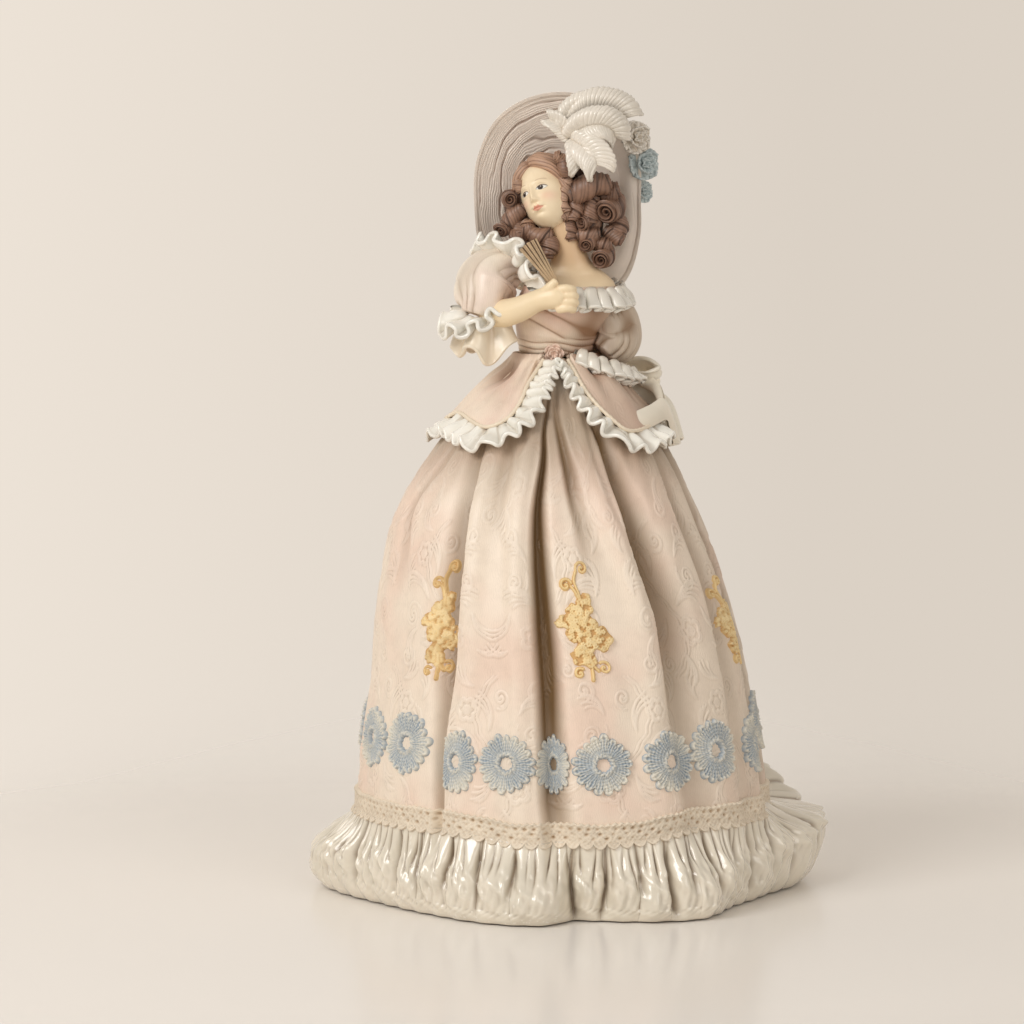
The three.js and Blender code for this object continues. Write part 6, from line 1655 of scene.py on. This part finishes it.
def plume(name, node, spine, half, droop, barbs, seed):
    """An ostrich plume: a flowing sheet, ribbed by barbs that turn over at their tips."""
    chance = np.random.default_rng(seed)
    v, u = grid_of(np.linspace(0, 1, barbs * 16), np.linspace(-1, 1, 72))
    s, way = np.abs(u), np.sign(u)
    # Each side has its own barbs, uneven in width and reach
    place, reach = np.zeros_like(v), np.zeros_like(v)
    for side in (-1, 1):
        knots = np.linspace(0, 1, barbs + 1)
        knots[1:-1] += chance.uniform(-0.28, 0.28, barbs - 1) / barbs
        mine = np.interp(v, knots, np.arange(barbs + 1))
        grow = chance.uniform(0.84, 1.08, barbs + 1)[np.clip(mine.astype(int), 0, barbs)]
        place = np.where(way == side, mine, place)
        reach = np.where(way == side, grow, reach)
    inside = 2 * (place % 1) - 1
    dome = np.sqrt(clamp(1 - np.abs(inside) ** 2.4))
    foot = path(spine, v)
    along = unit(path(spine, clamp(v + 0.02)) - path(spine, clamp(v - 0.02)))
    out = unit(np.array([0, -1.0, 0]) + along * along[..., 1:2])
    across = np.cross(along, out)
    wide = half * (0.45 + 0.55 * np.sin(np.pi * (0.14 + 0.74 * v)))
    tip = 1 - step(s, 0.86, 1.0) * (0.16 * (1 - dome) + 0.14 * (1 - reach))
    lateral = wide * tip * np.sin(1.25 * s) / math.sin(1.25)
    forward = wide * tip * (0.35 + 0.75 * v) * (0.55 * s + 0.5 * s**2)
    lift = 2.0 * np.sin(np.pi * s * 0.7) - droop * s**3 + (0.45 + 0.7 * s) * dome * step(s, 0.0, 0.12)
    lift = lift + 0.5 * np.sin(3 * v + 5 * s + seed) * s
    points = foot + across * (way * lateral)[..., None] + along * forward[..., None]
    points = points + out * lift[..., None] + AT_WAIST
    # Painted shade between the barbs and along the quill.
    wash = 0.95 * fade(dome, 0.2, 0.72) * step(s, 0.02, 0.16) + 0.15 * fade(s, 0.0, 0.12)
    obj = surface(name, points, PLUME, "plume", wash=wash)
    solidify(obj, 1.1, 0)
    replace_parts(obj, node)


# Plumes and smaller fronds: name, node, spine, half width, droop, barbs, seed
PLUMES = [
    ("plume_1", "plume_upper",
     [(3.1, -6, 86.7), (6.5, -8, 92), (9.4, -9, 94.8), (12.7, -9, 96.8), (17, -8, 97.4), (21.6, -6.5, 96.6),
      (25, -5, 94.4)], 8.2, 3.0, 24, 61),
    ("plume_2", "plume_side",
     [(3.7, -9, 86.5), (6.8, -12, 89.6), (10.7, -14, 91.4), (15.4, -14, 91.8), (19.6, -12, 90.2),
      (21.6, -9, 87)], 6.8, 3.0, 20, 62),
    ("plume_3", "plume_small",
     [(4.2, -10, 86.1), (7.8, -13.5, 83.8), (11.2, -15, 81), (13.2, -15.4, 78.4), (14.2, -15, 76.2)],
     7.0, 2.2, 12, 63),
    ("plume_rise", "plume_upper",
     [(3.4, -7.4, 86.6), (2.8, -8.6, 91.2), (4.2, -9, 95), (7.4, -8.6, 98), (10.8, -8, 99.6)],
     5.6, 2.0, 14, 66),
    ("plume_tuft", "plume_upper", [(3.5, -8, 86), (1.2, -9.4, 89.6), (-1.2, -10, 92.2), (-4, -9, 93.8)],
     3.6, 1.4, 11, 64),
    ("plume_fall", "plume_small", [(6, -11, 85), (7, -13, 81.6), (7.8, -13.6, 78.4), (8, -13, 75.6)],
     5.6, 1.8, 8, 65),
]
# Flowers: name, node, place, size, petals, paint, slot, seed
FLOWERS = [
    ("flower_1", "hat_flower_white", (30.4, 6, 86.6), 13.5, 5, PLUME, "plume", 70),
    ("flower_2", "hat_flower_blue", (33.6, 8, 76.4), 13.8, 5, BLUE, "blue", 71),
    ("flower_3", "hat_flower_bud", (33.4, 12, 65), 9, 4, BLUE, "blue", 72),
]
FLOWER_FACING = unit(np.array([0.5, -0.85, 0.1]))


def flower(name, node, at, size, petals, paint, slot, seed):
    """Cupped petals in two rings round a knotted heart."""
    chance = np.random.default_rng(seed)
    at = np.array(at, float) + AT_WAIST
    out = FLOWER_FACING
    side = unit(np.cross([0, 0, 1.0], out))
    up = np.cross(out, side)
    points, faces, wash = [], [], []
    u, v = grid_of(np.linspace(0, 1, 24), np.linspace(-1, 1, 24))
    for ring, (reach, tilt) in enumerate(((size / 2, 0.1), (size / 2.9, 0.6), (size / 4.5, 1.1))):
        for k in range(petals):
            way = 2 * np.pi * (k + 0.5 * ring) / petals + chance.uniform(-0.1, 0.1)
            along = reach * u * math.cos(tilt) * (1 - 0.12 * v**2)
            spread = np.sqrt(clamp(np.sin(np.pi * clamp(u * 0.74 + 0.1))))
            wide = reach * 0.7 * spread * v
            lift = reach * (math.sin(tilt) * u + 0.22 * v**2 * u + 0.05 * np.sin(5 * v + 3 * u))
            lift = lift + 0.05 * reach * u * np.cos(11 * v) + size * (0.05 * ring - 0.12)
            x = along * math.cos(way) - wide * math.sin(way)
            y = along * math.sin(way) + wide * math.cos(way)
            petal = at + x[..., None] * side + y[..., None] * up + lift[..., None] * out
            points.append(petal.reshape(-1, 3))
            faces.append(grid_faces(24, 24, start=24 * 24 * len(faces)))
            # Painted shade towards the heart and in the dips of each petal's ripples.
            wash.append((0.55 * fade(u, 0, 0.4) + 0.15 * (np.cos(11 * v) < -0.4)).ravel())
    obj = make(name, np.vstack(points), np.vstack(faces), paint)
    mark(obj, "wash", np.concatenate(wash))
    solidify(obj, size / 18, 0)
    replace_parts(obj, node)


def build_trim():
    for row in PLUMES:
        plume(*row)
    for row in FLOWERS:
        flower(*row)


# Stage, lights and camera, in metres
FLOOR_COLOUR = srgb(244, 239, 233)
# The wall's colours run from left to right, lighter at the left as painted light.
STAGE_WALL = (srgb(236, 227, 216), srgb(229, 219, 207))
STUDIO_WALL = (srgb(237, 227, 215), srgb(219, 209, 197))
STUDIO_LIGHT, STUDIO_STRENGTH = (1.0, 0.975, 0.94, 1), 0.4
# Millimetres: where the floor starts, where it bends up, the bend's radius, the wall's top, half width
FLOOR_FRONT, FLOOR_BEND, BEND_RADIUS, WALL_TOP, STAGE_HALF = -2200, 260, 190, 2600, 2600
CAMERA_PLACE, CAMERA_TILT, CAMERA_LENS, CAMERA_SENSOR = (-0.0192, -1.7, 0.315), 84.5, 150, 36
LAMP_TARGET = (0, 0, 0.2)
# Lamps: name, place, side of its square, power, colour
LAMPS = [
    ("key", (-1.3, -1.4, 1.3), 1.1, 25.5, (1, 0.985, 0.965)),
    ("fill", (1.2, -1.6, 1.0), 1.2, 8.5, (1, 0.96, 0.91)),
]


def seen(tree):
    """1 for rays that show the background: the camera's, and those in gloss or glass."""
    path_kind = tree.nodes.new("ShaderNodeLightPath")
    total = path_kind.outputs["Is Camera Ray"]
    for kind in ("Is Glossy Ray", "Is Transmission Ray"):
        either = tree.nodes.new("ShaderNodeMath")
        either.operation = "MAXIMUM"
        tree.links.new(total, either.inputs[0])
        tree.links.new(path_kind.outputs[kind], either.inputs[1])
        total = either.outputs[0]
    return total


def build_world():
    """A warm even light, seen as a pale wall with painted light: a little lighter at its left."""
    world = bpy.data.worlds.new("studio")
    world.use_nodes = True
    tree = world.node_tree
    light = tree.nodes["Background"]
    light.inputs["Color"].default_value = STUDIO_LIGHT
    light.inputs["Strength"].default_value = STUDIO_STRENGTH
    view = tree.nodes.new("ShaderNodeBackground")
    sides = tree.nodes.new("ShaderNodeSeparateXYZ")
    tree.links.new(tree.nodes.new("ShaderNodeTexCoord").outputs["Generated"], sides.inputs[0])
    across = tree.nodes.new("ShaderNodeMapRange")
    tree.links.new(sides.outputs["X"], across.inputs["Value"])
    across.inputs["From Min"].default_value = -0.13
    across.inputs["From Max"].default_value = 0.07
    wall = tree.nodes.new("ShaderNodeMix")
    wall.data_type = "RGBA"
    wall.inputs[6].default_value, wall.inputs[7].default_value = STUDIO_WALL
    tree.links.new(across.outputs["Result"], wall.inputs["Factor"])
    tree.links.new(wall.outputs[2], view.inputs["Color"])
    blend = tree.nodes.new("ShaderNodeMixShader")
    tree.links.new(seen(tree), blend.inputs[0])
    tree.links.new(light.outputs[0], blend.inputs[1])
    tree.links.new(view.outputs[0], blend.inputs[2])
    tree.links.new(blend.outputs[0], tree.nodes["World Output"].inputs["Surface"])
    bpy.context.scene.world = world


def stage_paint():
    """Pale floor and wall, of which only what lies round the object is seen."""
    paint = Paint("backdrop", 0.2, Specular_IOR_Level=0.5)
    height = paint.node("ShaderNodeSeparateXYZ", Vector=paint.place)
    rise = paint.span(height.outputs["Z"], 0.0, 0.45)
    # The wall is a little lighter at its left: painted light.
    across = paint.span(height.outputs["X"], -0.3, 0.35)
    wall = paint.mix(across, *STAGE_WALL)
    paint.colour(paint.mix(rise, FLOOR_COLOUR, wall))
    away = paint.tree.nodes.new("ShaderNodeVectorMath")
    away.operation = "LENGTH"
    paint.feed(away.inputs[0], paint.place)
    far = paint.span(away.outputs["Value"], 0.24, 0.42)
    clear = paint.node("ShaderNodeBsdfTransparent")
    blend = paint.tree.nodes.new("ShaderNodeMixShader")
    paint.feed(blend.inputs[0], paint.math("MULTIPLY", far, seen(paint.tree)))
    paint.feed(blend.inputs[1], paint.shader.outputs["BSDF"])
    paint.feed(blend.inputs[2], clear.outputs["BSDF"])
    paint.feed(paint.tree.nodes["Material Output"].inputs["Surface"], blend.outputs[0])
    return paint.material


def build_stage():
    """A floor that bends up into a wall."""
    bend = [(FLOOR_BEND + BEND_RADIUS * math.sin(a), BEND_RADIUS * (1 - math.cos(a)))
            for a in np.linspace(0, np.pi / 2, 14)]
    line = [(FLOOR_FRONT, 0), *bend, (FLOOR_BEND + BEND_RADIUS, WALL_TOP)]
    points = np.array([[[x, y, z] for x in (-STAGE_HALF, STAGE_HALF)] for y, z in line], float)
    data = bpy.data.meshes.new("backdrop")
    faces = grid_faces(len(line), 2)[:, ::-1]
    data.from_pydata((points.reshape(-1, 3) / 1000).tolist(), [], faces.tolist())
    obj = bpy.data.objects.new("backdrop", data)
    bpy.context.scene.collection.objects.link(obj)
    data.materials.append(stage_paint())
    for face in data.polygons:
        face.use_smooth = True


def lamp(name, place, side, power, colour):
    data = bpy.data.lights.new(name, "AREA")
    data.shape = "RECTANGLE"
    data.size, data.size_y = side, side
    data.energy = power
    data.color = colour
    obj = bpy.data.objects.new(name, data)
    obj.location = place
    obj.rotation_euler = (Vector(LAMP_TARGET) - Vector(place)).to_track_quat("-Z", "Y").to_euler()
    bpy.context.scene.collection.objects.link(obj)


def build_view():
    build_world()
    for row in LAMPS:
        lamp(*row)
    data = bpy.data.cameras.new("camera")
    data.lens, data.sensor_width = CAMERA_LENS, CAMERA_SENSOR
    camera = bpy.data.objects.new("camera", data)
    camera.location = CAMERA_PLACE
    camera.rotation_euler = (math.radians(CAMERA_TILT), 0, 0)
    bpy.context.scene.collection.objects.link(camera)
    bpy.context.scene.camera = camera
    bpy.context.scene.view_settings.view_transform = "Standard"


build_skirt()
build_appliques()
build_lace()
build_hem()
build_overskirt()
build_bust()
build_bodice()
build_rosette()
build_arms()
build_frills()
build_fan()
build_bow()
build_head()
build_hair()
build_hat()
build_trim()
build_stage()
build_view()
